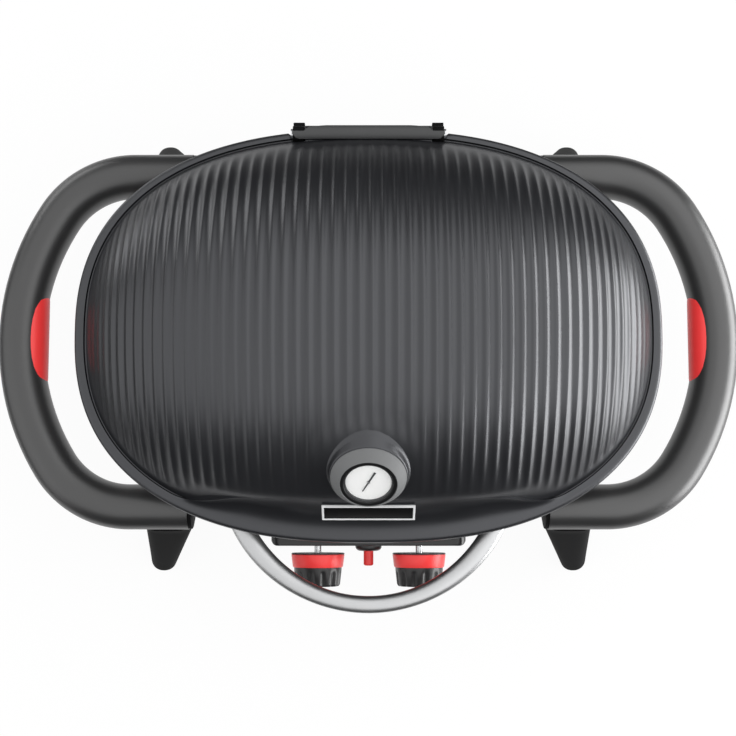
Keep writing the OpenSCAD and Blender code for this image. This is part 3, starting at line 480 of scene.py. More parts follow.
def lens_glass():
    paint = Paint("lens glass", alpha=0.04)
    paint.feed("Base Color", (0.95, 0.97, 1.0, 1))
    smear = paint.noise(40.0, 2.0)
    paint.feed("Roughness", 0.02 + smear * 0.03)
    return paint.material


LID_COAT = coat("satin charcoal lid", (0.0075, 0.0079, 0.0095), 0.38, 1100.0, 0.012, 0.10, 0.85,
                specular_tint=(0.94, 0.955, 1.0, 1))
BASE_COAT = coat("satin charcoal base", (0.018, 0.0182, 0.0188), 0.5, 900.0, 0.05, 0.10, 0.4)
TUBE_COAT = coat("satin black tube", (0.017, 0.017, 0.0175), 0.38, 1400.0, 0.015, 0.10, 0.95)
# Black matte moulding for the legs, bracket and handle mounts. Its colour is also darkened below the
# tube's, as painted shade for the shadow that falls on the legs under the tubes.
LEG_COAT_WITH_PAINTED_SHADE = coat("moulded black leg with painted shade", (0.006, 0.006, 0.0063), 0.65, 800.0, 0.06, 0.10, 0.06)
PANEL_COAT = coat("panel black", (0.010, 0.010, 0.0105), 0.32, 1000.0, 0.03, 0.10, 0.5)
GRIP_COAT = coat("knob black", (0.014, 0.014, 0.0145), 0.36, 1500.0, 0.03, 0.10, 0.5)
RED_PLASTIC = coat("red plastic", (0.93, 0.048, 0.048), 0.36, 1500.0, 0.015, 0.05, 0.45)
BEZEL_COAT = coat("bezel grey", (0.145, 0.148, 0.150), 0.55, 1200.0, 0.03, 0.06, 0.3)
GAUGE_COAT = coat("gauge black", (0.005, 0.005, 0.0055), 0.5, 1200.0, 0.02, 0.08, 0.25)
COVER_COAT = coat("hinge cover grey", (0.040, 0.041, 0.042), 0.45, 1200.0, 0.03, 0.08, 0.5)
PLATE_COAT = coat("plate black", (0.004, 0.004, 0.0042), 0.4, 1800.0, 0.01, 0.08, 0.1)
# The border is bright metal. This pale diffuse silver-white is a painted reflection that stands in for its
# shine.
BORDER_PAINTED_REFLECTION = coat("plate border painted reflection", (0.78, 0.785, 0.79), 0.35, 1800.0, 0.01, 0.03, 0.5)
RUBBER = coat("foot rubber", (0.010, 0.010, 0.010), 0.75, 700.0, 0.08, 0.12, 0.3)
IRON = coat("grate iron", (0.018, 0.0178, 0.0175), 0.62, 420.0, 0.25, 0.2, 0.4)
CERAMIC = coat("electrode ceramic", (0.72, 0.69, 0.62), 0.32, 500.0, 0.02, 0.04, 0.5)
SILVER = hoop_metal()
STEEL = metal("bright steel", (0.66, 0.67, 0.68), 0.28)
TRAY_STEEL = metal("tray steel", (0.55, 0.56, 0.57), 0.36, (1, 0.05, 1))
BRASS = metal("brass", (0.60, 0.44, 0.20), 0.32)
DIAL = dial_face()
GLASS = lens_glass()


# Lid: fluted dome, rim and lip, boss, plate pad, hinge knuckle
def crest_line(a, b, drop, step=0.25):
    """Points (run, x, radius) along a barrel's crest, with run measured from its middle."""
    points = []
    run = 0.0
    for number in range(int(180 / step) + 1):
        x = a * math.sin(math.radians(number * step - 90))
        radius = barrel_radius(x, a, b, drop)
        if points:
            run += math.hypot(x - points[-1][1], radius - points[-1][2])
        points.append((run, x, radius))
    return [(point - run / 2, x, radius) for point, x, radius in points]


def at_run(line, run):
    """The place on a crest line at a given run, between its points."""
    for before, after in zip(line, line[1:]):
        if run <= after[0]:
            share = (run - before[0]) / (after[0] - before[0])
            x, radius = [low + share * (high - low) for low, high in zip(before[1:], after[1:])]
            return (run, x, radius)
    return line[-1]


def with_ends(line, sink):
    """A crest line carried on past both ends, towards the axis."""
    first, last = line[0], line[-1]
    return [(first[0] - 1, first[1], first[2] - sink)] + line + [(last[0] + 1, last[1], last[2] - sink)]


BARREL_SWEEP = 146


def spin_barrel(shape, profile, middle, steps, tag=None):
    """Spins (run, x, radius) points from the front to the rear, about an axis through middle (y, z)."""
    start = math.radians(BARREL_SWEEP / 2)
    middle_y, middle_z = middle
    corners = []
    for run, x, radius in profile:
        y = middle_y - radius * math.sin(start)
        z = middle_z + radius * math.cos(start)
        corner = shape.verts.new((x, y, z))
        if tag:
            corner[tag] = run
        corners.append(corner)
    edges = [shape.edges.new(pair) for pair in zip(corners, corners[1:])]
    bmesh.ops.spin(shape, geom=corners + edges, cent=(0, middle_y, middle_z), axis=(1, 0, 0),
                   angle=-2 * start, steps=steps)


def cut_below(shape, height):
    """Trims everything under a level, and gives the edges of the cut."""
    everything = shape.verts[:] + shape.edges[:] + shape.faces[:]
    bmesh.ops.bisect_plane(shape, geom=everything, dist=0.0001, plane_co=(0, 0, height),
                           plane_no=(0, 0, -1), clear_outer=True)
    return [edge for edge in shape.edges if edge.is_boundary]


DOME_FOOT = 197.0
DOME_STEPS = 104
DOME_END = 6.0
FLUTE_RIDGE = 1.7
FLUTE_COLUMNS = 8
FLUTE_FRONT = 48.0
FLUTE_REAR = 16.0
FLUTE_SIDE = 4.0
FLUTE_LEAST = 0.12
FLUTE_FADE = 0.85
LIP_SEGMENTS = 320
LIP_WHOLE = 105.0
LIP_GONE = 190.0
FLARE_RISE = 45.0
FLARE_END_RISE = 31.0
FLARE_WIDTH = 26.0
FLARE_LIFT = 3.2
FLARE_SOFT = 8.0
FLARE_GAP = 1.5
SOFT_RISE = 75.0
LIP_STEPS = 17
EDGE_INSET = 4.6


def front_share(x, y):
    """1 where the lid flares out into the front lip, 0 at the sides and the rear."""
    return (1 - smoothstep(LIP_WHOLE, LIP_GONE, abs(x))) * (1 - smoothstep(-90, -30, y))


def rim_edge(turn, inset, height):
    spot = oval_point(turn, RIM_A - inset, RIM_B - inset)
    if abs(spot.x) < NOTCH_HALF:
        spot.y = min(spot.y, NOTCH_Y - inset)
    spot.z = height
    return spot


def dome_edge(turn, outset, height):
    spot = oval_point(turn, DOME_A + outset, DOME_B + outset)
    spot.y = min(spot.y + DOME_Y, NOTCH_Y - 1)
    spot.z = height
    return spot


def flare_rise(x):
    """How high the flare reaches: highest below the boss, lower towards the ends of the lip."""
    return between(FLARE_RISE, FLARE_END_RISE, smoothstep(45, 150, abs(x)))


def flare(x):
    """Three points (y, rise) that guide the hollow flare from the lip's edge up to the dome."""
    edge = -oval_half(x, RIM_A - EDGE_INSET, RIM_B - EDGE_INSET)
    rise = flare_rise(x)
    return ((edge, 0.0), (edge + FLARE_WIDTH, FLARE_LIFT), (dome_front(x, rise), rise))


def dome_front(x, rise):
    """How far to the front the plain dome reaches at a rise."""
    reach = barrel_radius(x, DOME_A, DOME_B, DOME_DROP) ** 2 - (DOME_DROP + rise) ** 2
    return DOME_Y - math.sqrt(max(1.0, reach))


def flare_spot(x, share):
    """A point of the flare: share 0 is at the lip's edge; round share 1 it turns softly into the dome."""
    y, rise = [low * (1 - share) ** 2 + 2 * middle * share * (1 - share) + top * share ** 2
               for low, middle, top in zip(*flare(x))]
    dome = dome_front(x, rise)
    near = max(0.0, 1 - abs(dome - y) / FLARE_SOFT) * smoothstep(0.45, 0.6, share)
    if share > 1:
        y = max(y, dome)
    return Vector((x, y + near * near * FLARE_SOFT / 4, RIM_TOP + rise))


def behind_flare(x, rise):
    """How far back the dome lies at a rise: it turns into the flare, which covers it lower down."""
    bend = flare_rise(x) - 2 * FLARE_LIFT
    share = (math.sqrt(FLARE_LIFT ** 2 + bend * max(0.0, rise)) - FLARE_LIFT) / bend
    return flare_spot(x, share).y + FLARE_GAP * max(0.0, 1 - share)


def flute_share(x, spot, rise):
    """Flutes fade out towards the rim, soonest at the front, and round the boss."""
    ends = smoothstep(90, 200, abs(x))
    start = between(between(FLUTE_FRONT, FLUTE_REAR, smoothstep(-60, 60, spot.y)), FLUTE_SIDE, ends)
    least = FLUTE_LEAST * (1 - ends)
    share = least + (1 - least) * smoothstep(start, start + between(38, 12, ends), rise)
    off_boss = on_dome(GAUGE_TILT).inverted() @ spot
    if off_boss.z > -60:
        share *= smoothstep(BOSS_R + 5, BOSS_R + 27, off_boss.xy.length)
    return share


def dome_shell():
    shape = bmesh.new()
    tag = shape.verts.layers.float.new("run")
    line = crest_line(DOME_A, DOME_B, DOME_DROP)
    half = line[-1][0]
    flutes = math.floor((half - 5) / FLUTE_PITCH - 0.5)
    last = (flutes + 0.5) * FLUTE_PITCH
    columns = int(2 * last / FLUTE_PITCH * FLUTE_COLUMNS)
    profile = [line[0]]
    profile += [at_run(line, -last + 2 * last * number / columns) for number in range(columns + 1)]
    profile.append(line[-1])
    spin_barrel(shape, with_ends(profile, DOME_END), (DOME_Y, DOME_AXIS), DOME_STEPS, tag)
    cut_below(shape, DOME_FOOT)
    bmesh.ops.remove_doubles(shape, verts=shape.verts, dist=0.002)
    bmesh.ops.recalc_face_normals(shape, faces=shape.faces)
    shape.normal_update()
    outward = 1 if max(shape.verts, key=lambda corner: corner.co.z).normal.z > 0 else -1
    for corner in shape.verts:
        run = corner[tag]
        spot = corner.co.copy()
        rise = spot.z - RIM_TOP
        share = flute_share(spot.x, spot, rise) * (1 - smoothstep(last - 1, last, abs(run)))
        share *= 1 - FLUTE_FADE * smoothstep(half - 110, half - 12, abs(run))
        ridge = ((1 - math.cos(math.tau * (run - FLUTE_SHIFT) / FLUTE_PITCH)) / 2) ** FLUTE_RIDGE
        corner.co = spot - corner.normal * (outward * FLUTE_DEPTH * (1 - ridge) * share)
        lip = front_share(spot.x, spot.y)
        if lip > 0 and rise < SOFT_RISE:
            corner.co.y += lip * max(0.0, behind_flare(spot.x, rise) - corner.co.y)
    inner = crest_line(HOLLOW_A, HOLLOW_B, HOLLOW_DROP, 3)
    spin_barrel(shape, with_ends(inner, DOME_END), (BOWL_Y, RIM_TOP - HOLLOW_DROP), 48, tag)
    rims = cut_below(shape, DOME_FOOT)
    bmesh.ops.triangle_fill(shape, use_beauty=True, use_dissolve=False, edges=rims)
    return shape


def lip_corner(turn, station):
    """Corner of the lid's rim; at the front, its flat top turns into a hollow flare up the dome."""
    kind, amount, height = station
    if kind == "rim":
        return rim_edge(turn, amount, height)
    if kind == "under":
        spot = oval_point(turn, HOLLOW_A - amount, HOLLOW_B - amount)
        return Vector((spot.x, spot.y + BOWL_Y, height))
    edge = rim_edge(turn, EDGE_INSET, RIM_TOP)
    share = front_share(edge.x, edge.y)
    if kind == "top":
        flat = edge.lerp(dome_edge(turn, 2.7, RIM_TOP), amount)
        hollow = flare_spot(edge.x, amount)
    else:
        flat = dome_edge(turn, amount, height)
        hollow = flare_spot(edge.x, 1.0) + Vector((0, 4.0, -2.0) if amount > 0 else (0, 8.0, -6.0))
    return flat.lerp(hollow, share)


def make_lid():
    shape = dome_shell()
    shape.verts.layers.float.new("turn")
    stations = [("under", 0.6, LID_Z), ("rim", 3.0, LID_Z), ("rim", 0.9, LID_Z + 0.9),
                ("rim", 0.0, LID_Z + 3), ("rim", 0.0, RIM_TOP - 5.5), ("rim", 0.4, RIM_TOP - 3.4),
                ("rim", 1.3, RIM_TOP - 1.7), ("rim", 2.8, RIM_TOP - 0.5)]
    stations += [("top", number / (LIP_STEPS - 1), 0) for number in range(LIP_STEPS)]
    stations += [("groove", 1.9, RIM_TOP - 3.0), ("groove", -1.5, RIM_TOP - 3.0),
                 ("under", 0.6, DOME_FOOT - 1)]
    loft(shape, LIP_SEGMENTS, stations, lip_corner, "closed")
    loft(shape, 128, BOSS_STATIONS, boss_corner)
    pad_x, pad_y = PLATE_W / 2 - 0.2, PLATE_H / 2 - 0.2
    block(shape, (-pad_x, -pad_y, -8), (pad_x, pad_y, 2.0), 0.6, plate_place())
    rod(shape, (-KNUCKLE_HALF, HINGE_Y, HINGE_Z), (KNUCKLE_HALF, HINGE_Y, HINGE_Z), KNUCKLE_R, 48, 0.6)
    block(shape, (-KNUCKLE_HALF, HINGE_Y - 12, HINGE_Z - KNUCKLE_R),
          (KNUCKLE_HALF, HINGE_Y, HINGE_Z + 4.2), 0.6)
    return show(shape, "fluted_lid", "lid", LID_COAT, ("lid_shell",), 50)


# The boss rises out of the dome with a soft hollow at its foot and a tail to the rear
# A station is (radius, level, share of the dome)
BOSS_SKIRT = 3.5
BOSS_CURL = 3.5
BOSS_TAIL = 6.5
BOSS_STATIONS = [(20.0, -3.4, 1.0), (BOSS_R + 1.0, -3.6, 1.0)]
BOSS_STATIONS += [
    (BOSS_R + BOSS_SKIRT * (1 - math.sin(math.radians(10 * number))),
     BOSS_CURL * (1 - math.cos(math.radians(10 * number))) - 0.4, 1.0) for number in range(10)]
BOSS_STATIONS += [(BOSS_R - 0.3, BOSS_H - 1.6, 0.0), (BOSS_R - 0.5, BOSS_H - 0.8, 0.0),
                  (BOSS_R - 0.9, BOSS_H - 0.3, 0.0), (BOSS_R - 1.6, BOSS_H, 0.0),
                  (BOSS_R - 14.0, BOSS_H, 0.0)]


def boss_corner(turn, station):
    radius, level, share = station
    across = radius * math.cos(math.tau * turn)
    along = radius * math.sin(math.tau * turn)
    along += BOSS_TAIL * smoothstep(BOSS_H, 0.0, level) * max(0.0, math.sin(math.tau * turn)) ** 2
    skin = math.sqrt(barrel_radius(across, DOME_A, DOME_B, DOME_DROP) ** 2 - along ** 2) - DOME_R
    return on_dome(GAUGE_TILT) @ Vector((across, along, level + share * skin))


make_lid()


# Thermometer
NEEDLE_TIP = 12.6
NEEDLE_TAIL = -11.4
NEEDLE_TIP_HALF = 0.95
NEEDLE_TAIL_HALF = 0.45
NEEDLE_T = 0.5
NEEDLE_TURN = math.radians(-27)


def make_thermometer():
    place = on_dome(GAUGE_TILT)
    shape = new_shape()
    lathe(shape, [(CASE_R + 0.2, BOSS_H), (BEZEL_R, BOSS_H), (BEZEL_R, BOSS_H + 1.0),
                  (BEZEL_FRONT_R, BEZEL_TOP - 0.2), (BEZEL_FRONT_R - 0.4, BEZEL_TOP),
                  (CASE_R + 0.2, BEZEL_TOP - 0.3)], place, 128)
    show(shape, "gauge_bezel", "lid", BEZEL_COAT, ("thermometer_bezel",), 38, 0.3)
    seat = LENS_LEVEL + 0.5
    shape = new_shape()
    lathe(shape, [(4.1, CASE_FLOOR), (CASE_R, CASE_FLOOR), (CASE_R, BEZEL_TOP - 0.6),
                  (DIAL_R + 1.9, BEZEL_TOP - 0.6), (DIAL_R + 1.3, seat),
                  (DIAL_R + 1.3, LENS_LEVEL), (DIAL_R + 0.2, LENS_LEVEL),
                  (DIAL_R + 0.2, DIAL_LEVEL - 1), (4.1, DIAL_LEVEL - 1)], place, 128)
    show(shape, "gauge_case", "lid", GAUGE_COAT, ("thermometer_case",), 30)
    shape = new_shape()
    lathe(shape, [(1.6, DIAL_LEVEL - 1), (DIAL_R, DIAL_LEVEL - 1), (DIAL_R, DIAL_LEVEL - 0.2),
                  (DIAL_R - 0.3, DIAL_LEVEL), (1.6, DIAL_LEVEL)], place, 128)
    show(shape, "gauge_dial", "lid", DIAL, ("thermometer_dial",), 30)
    shape = new_shape()
    crown = [(DIAL_R + 1.2, LENS_LEVEL), (DIAL_R + 1.2, seat)]
    crown += [((DIAL_R + 1.2) * (1 - number / 8), seat + 0.4 * (1 - (1 - number / 8) ** 2))
              for number in range(1, 9)]
    lathe(shape, crown + [(0, LENS_LEVEL)], place, 96)
    show(shape, "gauge_lens", "lid", GLASS, ("thermometer_lens",), 40)
    shape = new_shape()
    low = DIAL_LEVEL + 0.2
    lathe(shape, [(0, low), (0.9, low), (0.9, low + 0.5), (0.7, low + 0.7), (0, low + 0.7)],
          None, 48, False)
    for corner in bmesh.ops.create_cube(shape, size=1.0)["verts"]:
        tip = corner.co.y > 0
        half = NEEDLE_TIP_HALF if tip else NEEDLE_TAIL_HALF
        corner.co = Vector((math.copysign(half, corner.co.x), NEEDLE_TIP if tip else NEEDLE_TAIL,
                            low if corner.co.z < 0 else low + NEEDLE_T))
    turned = place @ Matrix.Rotation(NEEDLE_TURN, 4, "Z")
    bmesh.ops.transform(shape, matrix=turned, verts=shape.verts)
    show(shape, "gauge_needle", "needle", GAUGE_COAT, ("thermometer_needle",), 30)


make_thermometer()


# Nameplate: a bare black plate with a metal border, whose pale silver-white paint is a painted reflection
PLATE_EDGE = 2.0


def make_plate():
    place = plate_place()
    inside = PLATE_W / 2 - PLATE_EDGE, PLATE_H / 2 - PLATE_EDGE
    shape = new_shape()
    block(shape, (-inside[0], -inside[1], 2.0), (inside[0], inside[1], 3.5), 0.2, place)
    show(shape, "plate_field", "lid", PLATE_COAT, ("nameplate",), 30)
    shape = new_shape()
    bmesh.ops.create_grid(shape, x_segments=1, y_segments=1, size=0.5,
                          matrix=Matrix.Translation((0, 0, 4)) @ Matrix.Diagonal((PLATE_W, PLATE_H, 1, 1)))
    bmesh.ops.inset_individual(shape, faces=shape.faces[:], thickness=PLATE_EDGE, use_even_offset=True)
    middle = min(shape.faces, key=lambda face: face.calc_center_median().to_2d().length)
    bmesh.ops.delete(shape, geom=[middle], context="FACES")
    bmesh.ops.solidify(shape, geom=shape.faces[:], thickness=2.0)
    low = min(corner.co.z for corner in shape.verts)
    bmesh.ops.transform(shape, matrix=place @ Matrix.Translation((0, 0, 2.0 - low)), verts=shape.verts)
    show(shape, "plate_border", "lid", BORDER_PAINTED_REFLECTION, (), 30, 0.3)


make_plate()


# Hoop: satin silver bar under the front lip, a little broader towards its ends
HOOP_HALF = 8.2
HOOP_SPREAD = 1.7
HOOP_END = 72


def hoop_corner(turn, angle):
    half = HOOP_HALF + HOOP_SPREAD * smoothstep(10, 62, abs(angle))
    spot = oval_point(turn, half, HOOP_T / 2, 2.2)
    reach = HOOP_R + spot.x
    heading = math.radians(angle)
    return Vector((reach * math.sin(heading), -HOOP_Y - reach * math.cos(heading), HOOP_Z + spot.y))


shape = new_shape()
loft(shape, 40, range(-HOOP_END, HOOP_END + 1, 2), hoop_corner)
show(shape, "front_hoop", "lid", SILVER, ("lid_handle",), 60)


# Side handles: one bent tube each, with a red inlay on the inner side, on two moulded legs
SIDE_R = ((TUBE_Y - BEND_R) ** 2 + TUBE_REACH ** 2 - BEND_R ** 2) / (2 * (TUBE_REACH - BEND_R))
SIDE_ANGLE = math.degrees(math.asin((TUBE_Y - BEND_R) / (SIDE_R - BEND_R)))
BEND_X = TUBE_X - TUBE_REACH
INLAY_X = TUBE_X - SIDE_R + math.sqrt((SIDE_R - TUBE_R) ** 2 - (INLAY_LEN / 2) ** 2) + INLAY_R


def tube_station(angle):
    """Middle of the tube where its outer side faces an angle."""
    heading = math.radians(angle)
    side = math.copysign(1, angle)
    if abs(angle) > SIDE_ANGLE:
        bend_y = side * (TUBE_Y - BEND_R)
        return (BEND_X + BEND_R * math.cos(heading), bend_y + BEND_R * math.sin(heading), heading)
    return (TUBE_X - SIDE_R + SIDE_R * math.cos(heading), SIDE_R * math.sin(heading), heading)


def tube_corner(turn, station):
    x, y, heading = station
    out = TUBE_R * math.cos(math.tau * turn)
    rise = TUBE_R * math.sin(math.tau * turn)
    return Vector((x + out * math.cos(heading), y + out * math.sin(heading), TUBE_Z + rise))


TUBE_STATIONS = [(TUBE_END_X, TUBE_Y, math.pi / 2)]
TUBE_STATIONS += [tube_station(90 - 2.5 * number) for number in range(73)]
TUBE_STATIONS += [(TUBE_END_X, -TUBE_Y, -math.pi / 2)]

INLAY_STATIONS = [(-1, 0.0, 0.86), (-1, 0.6, 0.94), (-1, 2.0, 0.985), (-1, 5.0, 1.0),
                  (1, 5.0, 1.0), (1, 2.0, 0.985), (1, 0.6, 0.94), (1, 0.0, 0.86)]


def inlay_corner(turn, station):
    side, inset, share = station
    spot = oval_point(turn, INLAY_R * share, INLAY_R * share, 2)
    return Vector((INLAY_X - spot.x, side * (INLAY_LEN / 2 - inset), TUBE_Z + spot.y))


LEG_IN = LUG_X + 1
LEG_OUT = LEG_IN + 51
LEG_NECK = TUBE_Z - TUBE_R - 8


def leg_corner(turn, station):
    share, height, trim = station
    spot = oval_point(turn, between((LEG_OUT - LEG_IN) / 2, FOOT_R, share) - trim,
                      between(TUBE_R + 2, FOOT_R, share) - trim, between(4.0, 2.2, share))
    return Vector((between((LEG_IN + LEG_OUT) / 2, FOOT_X, share) + spot.x,
                   between(TUBE_Y, FOOT_Y, share) + spot.y, height))


LEG_STATIONS = [(1.0, FOOT_T, 0.8), (0.995, FOOT_T + 0.8, 0.0)]
LEG_STATIONS += [(1 - number / 12, between(FOOT_T, LEG_NECK, number / 12), 0.0) for number in range(1, 13)]
LEG_STATIONS += [(0.0, between(LEG_NECK, TUBE_Z - 7, number / 4), 0.0) for number in range(1, 5)]
LEG_STATIONS += [(0.0, TUBE_Z - 6.2, 0.3), (0.0, TUBE_Z - 6, 0.9)]

for side, sign in (("left", -1), ("right", 1)):
    shape = new_shape()
    loft(shape, 64, TUBE_STATIONS, tube_corner)
    if sign < 0:
        mirror_x(shape)
    show(shape, side + "_handle_tube", "base", TUBE_COAT, (side + "_side_handle",), 50)
    shape = new_shape()
    loft(shape, 64, INLAY_STATIONS, inlay_corner)
    if sign < 0:
        mirror_x(shape)
    show(shape, side + "_inlay", "base", RED_PLASTIC, (side + "_grip_inlay",), 60)
    for end, way in (("front", -1), ("rear", 1)):
        name = end + "_" + side
        to_corner = Matrix.Diagonal((sign, way, 1, 1))
        shape = new_shape()
        loft(shape, 64, LEG_STATIONS, leg_corner)
        rod(shape, (LUG_X, TUBE_Y, TUBE_Z), (TUBE_END_X, TUBE_Y, TUBE_Z), TUBE_R - 0.6, 64, 0.8)
        bmesh.ops.transform(shape, matrix=to_corner, verts=shape.verts)
        show(shape, name + "_moulded_leg", "base", LEG_COAT_WITH_PAINTED_SHADE, (name + "_leg",), 50)
        shape = new_shape()
        lathe(shape, [(0, 0), (FOOT_R - 4.4, 0), (FOOT_R - 4.0, 0.9), (FOOT_R - 3.2, 0.9),
                      (FOOT_R - 2.8, 0), (FOOT_R - 1.9, 0), (FOOT_R - 0.9, 0.5), (FOOT_R - 0.4, 1.5),
                      (FOOT_R - 0.4, FOOT_T), (0, FOOT_T)],
              Matrix.Translation((FOOT_X, FOOT_Y, 0)), 48, False)
        bmesh.ops.transform(shape, matrix=to_corner, verts=shape.verts)
        show(shape, name + "_pad", "base", RUBBER, (name + "_foot",), 40)


# Base bowl
def make_bowl():
    shape = new_shape()
    skins = ((BOWL_A, BOWL_B, BOWL_H, BOWL_FLOOR, BASE_TOP - 1, 1.5, 72),
             (BOWL_A - BOWL_WALL, BOWL_B - BOWL_WALL, BOWL_H - BOWL_WALL, BOWL_FLOOR + BOWL_WALL,
              BASE_TOP - 4, 3, 48))
    for a, b, h, floor, top, step, steps in skins:
        part = bmesh.new()
        line = crest_line(a, b, axis_drop(b, h), step)
        spin_barrel(part, with_ends(line, 8), (BOWL_Y, -BOWL_AXIS), steps)
        bmesh.ops.transform(part, matrix=Matrix.Scale(-1, 4, (0, 0, 1)), verts=part.verts)
        for height, way in ((floor, -1), (top, 1)):
            bmesh.ops.bisect_plane(part, geom=part.verts[:] + part.edges[:] + part.faces[:], dist=0.0001,
                                   plane_co=(0, 0, height), plane_no=(0, 0, way), clear_outer=True)
        bmesh.ops.remove_doubles(part, verts=part.verts, dist=0.002)
        rim = [edge for edge in part.edges if edge.is_boundary and edge.verts[0].co.z < floor + 0.1
               and edge.verts[1].co.z < floor + 0.1]
        drain = [part.verts.new((24 * sx + 6 * math.cos(angle),
                                 BOWL_Y + 7 * sy + 6 * math.sin(angle), floor))
                 for sx, sy, start in ((1, 1, 0), (-1, 1, 90), (-1, -1, 180), (1, -1, 270))
                 for angle in (math.radians(start + 15 * number) for number in range(7))]
        hole = [part.edges.new(pair) for pair in zip(drain, drain[1:] + drain[:1])]
        bmesh.ops.triangle_fill(part, use_beauty=True, use_dissolve=False, edges=rim + hole)
        mesh = bpy.data.meshes.new("bowl skin")
        part.to_mesh(mesh)
        part.free()
        shape.from_mesh(mesh)
        bpy.data.meshes.remove(mesh)
    low = [edge for edge in shape.edges if edge.is_boundary and max(end.co.z for end in edge.verts) < 90]
    bmesh.ops.bridge_loops(shape, edges=low)

    def flange_corner(turn, station):
        a, b, height = station
        spot = oval_point(turn, a, b)
        return Vector((spot.x, spot.y + BOWL_Y, height))

    loft(shape, 192, [(BOWL_A - 6.4, BOWL_B - 6.4, 185.0), (BOWL_A - 6.4, BOWL_B - 6.4, BASE_TOP - 0.5),
                      (BOWL_A - 5.9, BOWL_B - 5.9, BASE_TOP), (BASE_A - 2.0, BASE_B - 2.0, BASE_TOP),
                      (BASE_A - 0.6, BASE_B - 0.6, BASE_TOP - 0.6), (BASE_A, BASE_B, BASE_TOP - 2.0),
                      (BASE_A, BASE_B, FLANGE_Z + 1.5), (BASE_A - 0.5, BASE_B - 0.5, FLANGE_Z + 0.4),
                      (BASE_A - 1.5, BASE_B - 1.5, FLANGE_Z), (BOWL_A - 4.5, BOWL_B - 4.5, FLANGE_Z)],
         flange_corner, "closed")
    for sign in (-1, 1):
        for way in (-1, 1):
            before = set(shape.verts)
            outline = ((TUBE_Y - 73, FLANGE_Z + 1), (TUBE_Y - 73, TUBE_Z - 4), (TUBE_Y - 16, TUBE_Z - 20),
                       (TUBE_Y + 10, TUBE_Z - 20), (TUBE_Y + 10, TUBE_Z + 18), (TUBE_Y - 6, FLANGE_Z + 1))
            corners = [shape.verts.new((sign * LUG_X, way * y, z)) for y, z in outline]
            face = shape.faces.new(corners)
            made = bmesh.ops.extrude_face_region(shape, geom=[face])["geom"]
            bmesh.ops.translate(shape, vec=(-sign * LUG_T, 0, 0),
                                verts=[item for item in made if isinstance(item, bmesh.types.BMVert)])
            soften(shape, edges_among(verts_since(shape, before)), 1.4)
        arm = PANEL_W / 2 - 18
        low, high = sorted((sign * (arm - 7), sign * (arm + 7)))
        block(shape, (low, 8 - PANEL_FRONT, 143), (high, 92 - PANEL_FRONT, 157), 1.2)
        for middle in (KNOB_X + 52, KNOB_X + 104):
            low, high = sorted((sign * (middle - 8.5), sign * (middle + 8.5)))
            front = 82.0 if middle < KNOB_X + 60 else -58.0
            block(shape, (low, front, BOWL_FLOOR + 2), (high, front + (20 if front > 0 else 16), 124), 1.0)
    grate_a, grate_b = grate_outline()
    for share in (-0.78, -0.4, 0, 0.4, 0.78):
        for way in (-1, 1):
            x = share * grate_a
            edge = BOWL_Y + way * oval_half(x, grate_a, grate_b)
            near, far = sorted((edge - way * 10, edge + way * 7))
            before = set(shape.verts)
            block(shape, (x - 9, near, 156), (x + 9, far, 166), 0.8)
            for corner in verts_since(shape, before):
                if corner.co.z < 161:
                    corner.co.y -= way * 5
    return show(shape, "cast_bowl", "base", BASE_COAT, ("base_bowl",), 40)


def grate_outline():
    """Half sizes of the cooking grates, read from their solids."""
    low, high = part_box("right_grate")
    return high.x / MM, (high.y - low.y) / 2 / MM


make_bowl()


# Knobs: a red ring and a fluted black grip
def knob_corner(turn, station):
    radius, y, bite = station
    wave = (0.5 + 0.5 * math.cos(12 * math.tau * turn)) ** 3
    reach = radius - bite * wave
    angle = math.tau * (turn + 1 / 24)
    return Vector((KNOB_X + reach * math.cos(angle), y, KNOB_Z + reach * math.sin(angle)))


GRIP_STATIONS = [(5.0, -KNOB_BACK, 0.0), (KNOB_R - 0.6, -KNOB_BACK, 0.0),
                 (KNOB_R - 0.1, -KNOB_BACK - 0.5, 0.0),
                 (KNOB_R - 0.1, -KNOB_BACK - 1.2, 0.0), (18.0, -KNOB_BACK - 1.2, 0.0),
                 (18.0, -KNOB_MID, 0.0), (KNOB_R - 2.8, -KNOB_MID, 0.0),
                 (KNOB_R - 2.9, -KNOB_MID - 2.5, 0.0), (KNOB_R - 3.1, -KNOB_MID - 4.5, 1.2),
                 (KNOB_R - 3.3, -KNOB_MID - 6, 2.1), (KNOB_R - 4.4, -KNOB_FRONT + 2.4, 2.1),
                 (KNOB_R - 4.8, -KNOB_FRONT + 1.5, 2.0), (KNOB_R - 5.8, -KNOB_FRONT + 0.3, 1.6),
                 (KNOB_R - 6.6, -KNOB_FRONT, 1.3), (KNOB_R - 10, -KNOB_FRONT, 0.0),
                 (KNOB_R - 12, -KNOB_FRONT + 0.6, 0.0)]
RING_STATIONS = [(18.1, -KNOB_BACK - 1.3, 0.0), (KNOB_R - 0.5, -KNOB_BACK - 1.3, 0.0),
                 (KNOB_R - 0.1, -KNOB_BACK - 1.8, 0.0),
                 (KNOB_R - 1.5, -KNOB_MID + 0.9, 0.0), (KNOB_R - 2.3, -KNOB_MID, 0.0),
                 (18.1, -KNOB_MID, 0.0)]

for side, sign in (("left", -1), ("right", 1)):
    shape = new_shape()
    loft(shape, 144, GRIP_STATIONS, knob_corner)
    block(shape, (KNOB_X - 1.4, -KNOB_FRONT - 0.8, KNOB_Z + 7),
          (KNOB_X + 1.4, -KNOB_FRONT + 2, KNOB_Z + KNOB_R - 8), 0.5)
    if sign < 0:
        mirror_x(shape)
    show(shape, side + "_grip", side + "_knob", GRIP_COAT, (side + "_knob_grip",), 35)
    shape = new_shape()
    loft(shape, 96, RING_STATIONS, knob_corner, "closed")
    if sign < 0:
        mirror_x(shape)
    show(shape, side + "_red_ring", side + "_knob", RED_PLASTIC, (side + "_knob_ring",), 35)

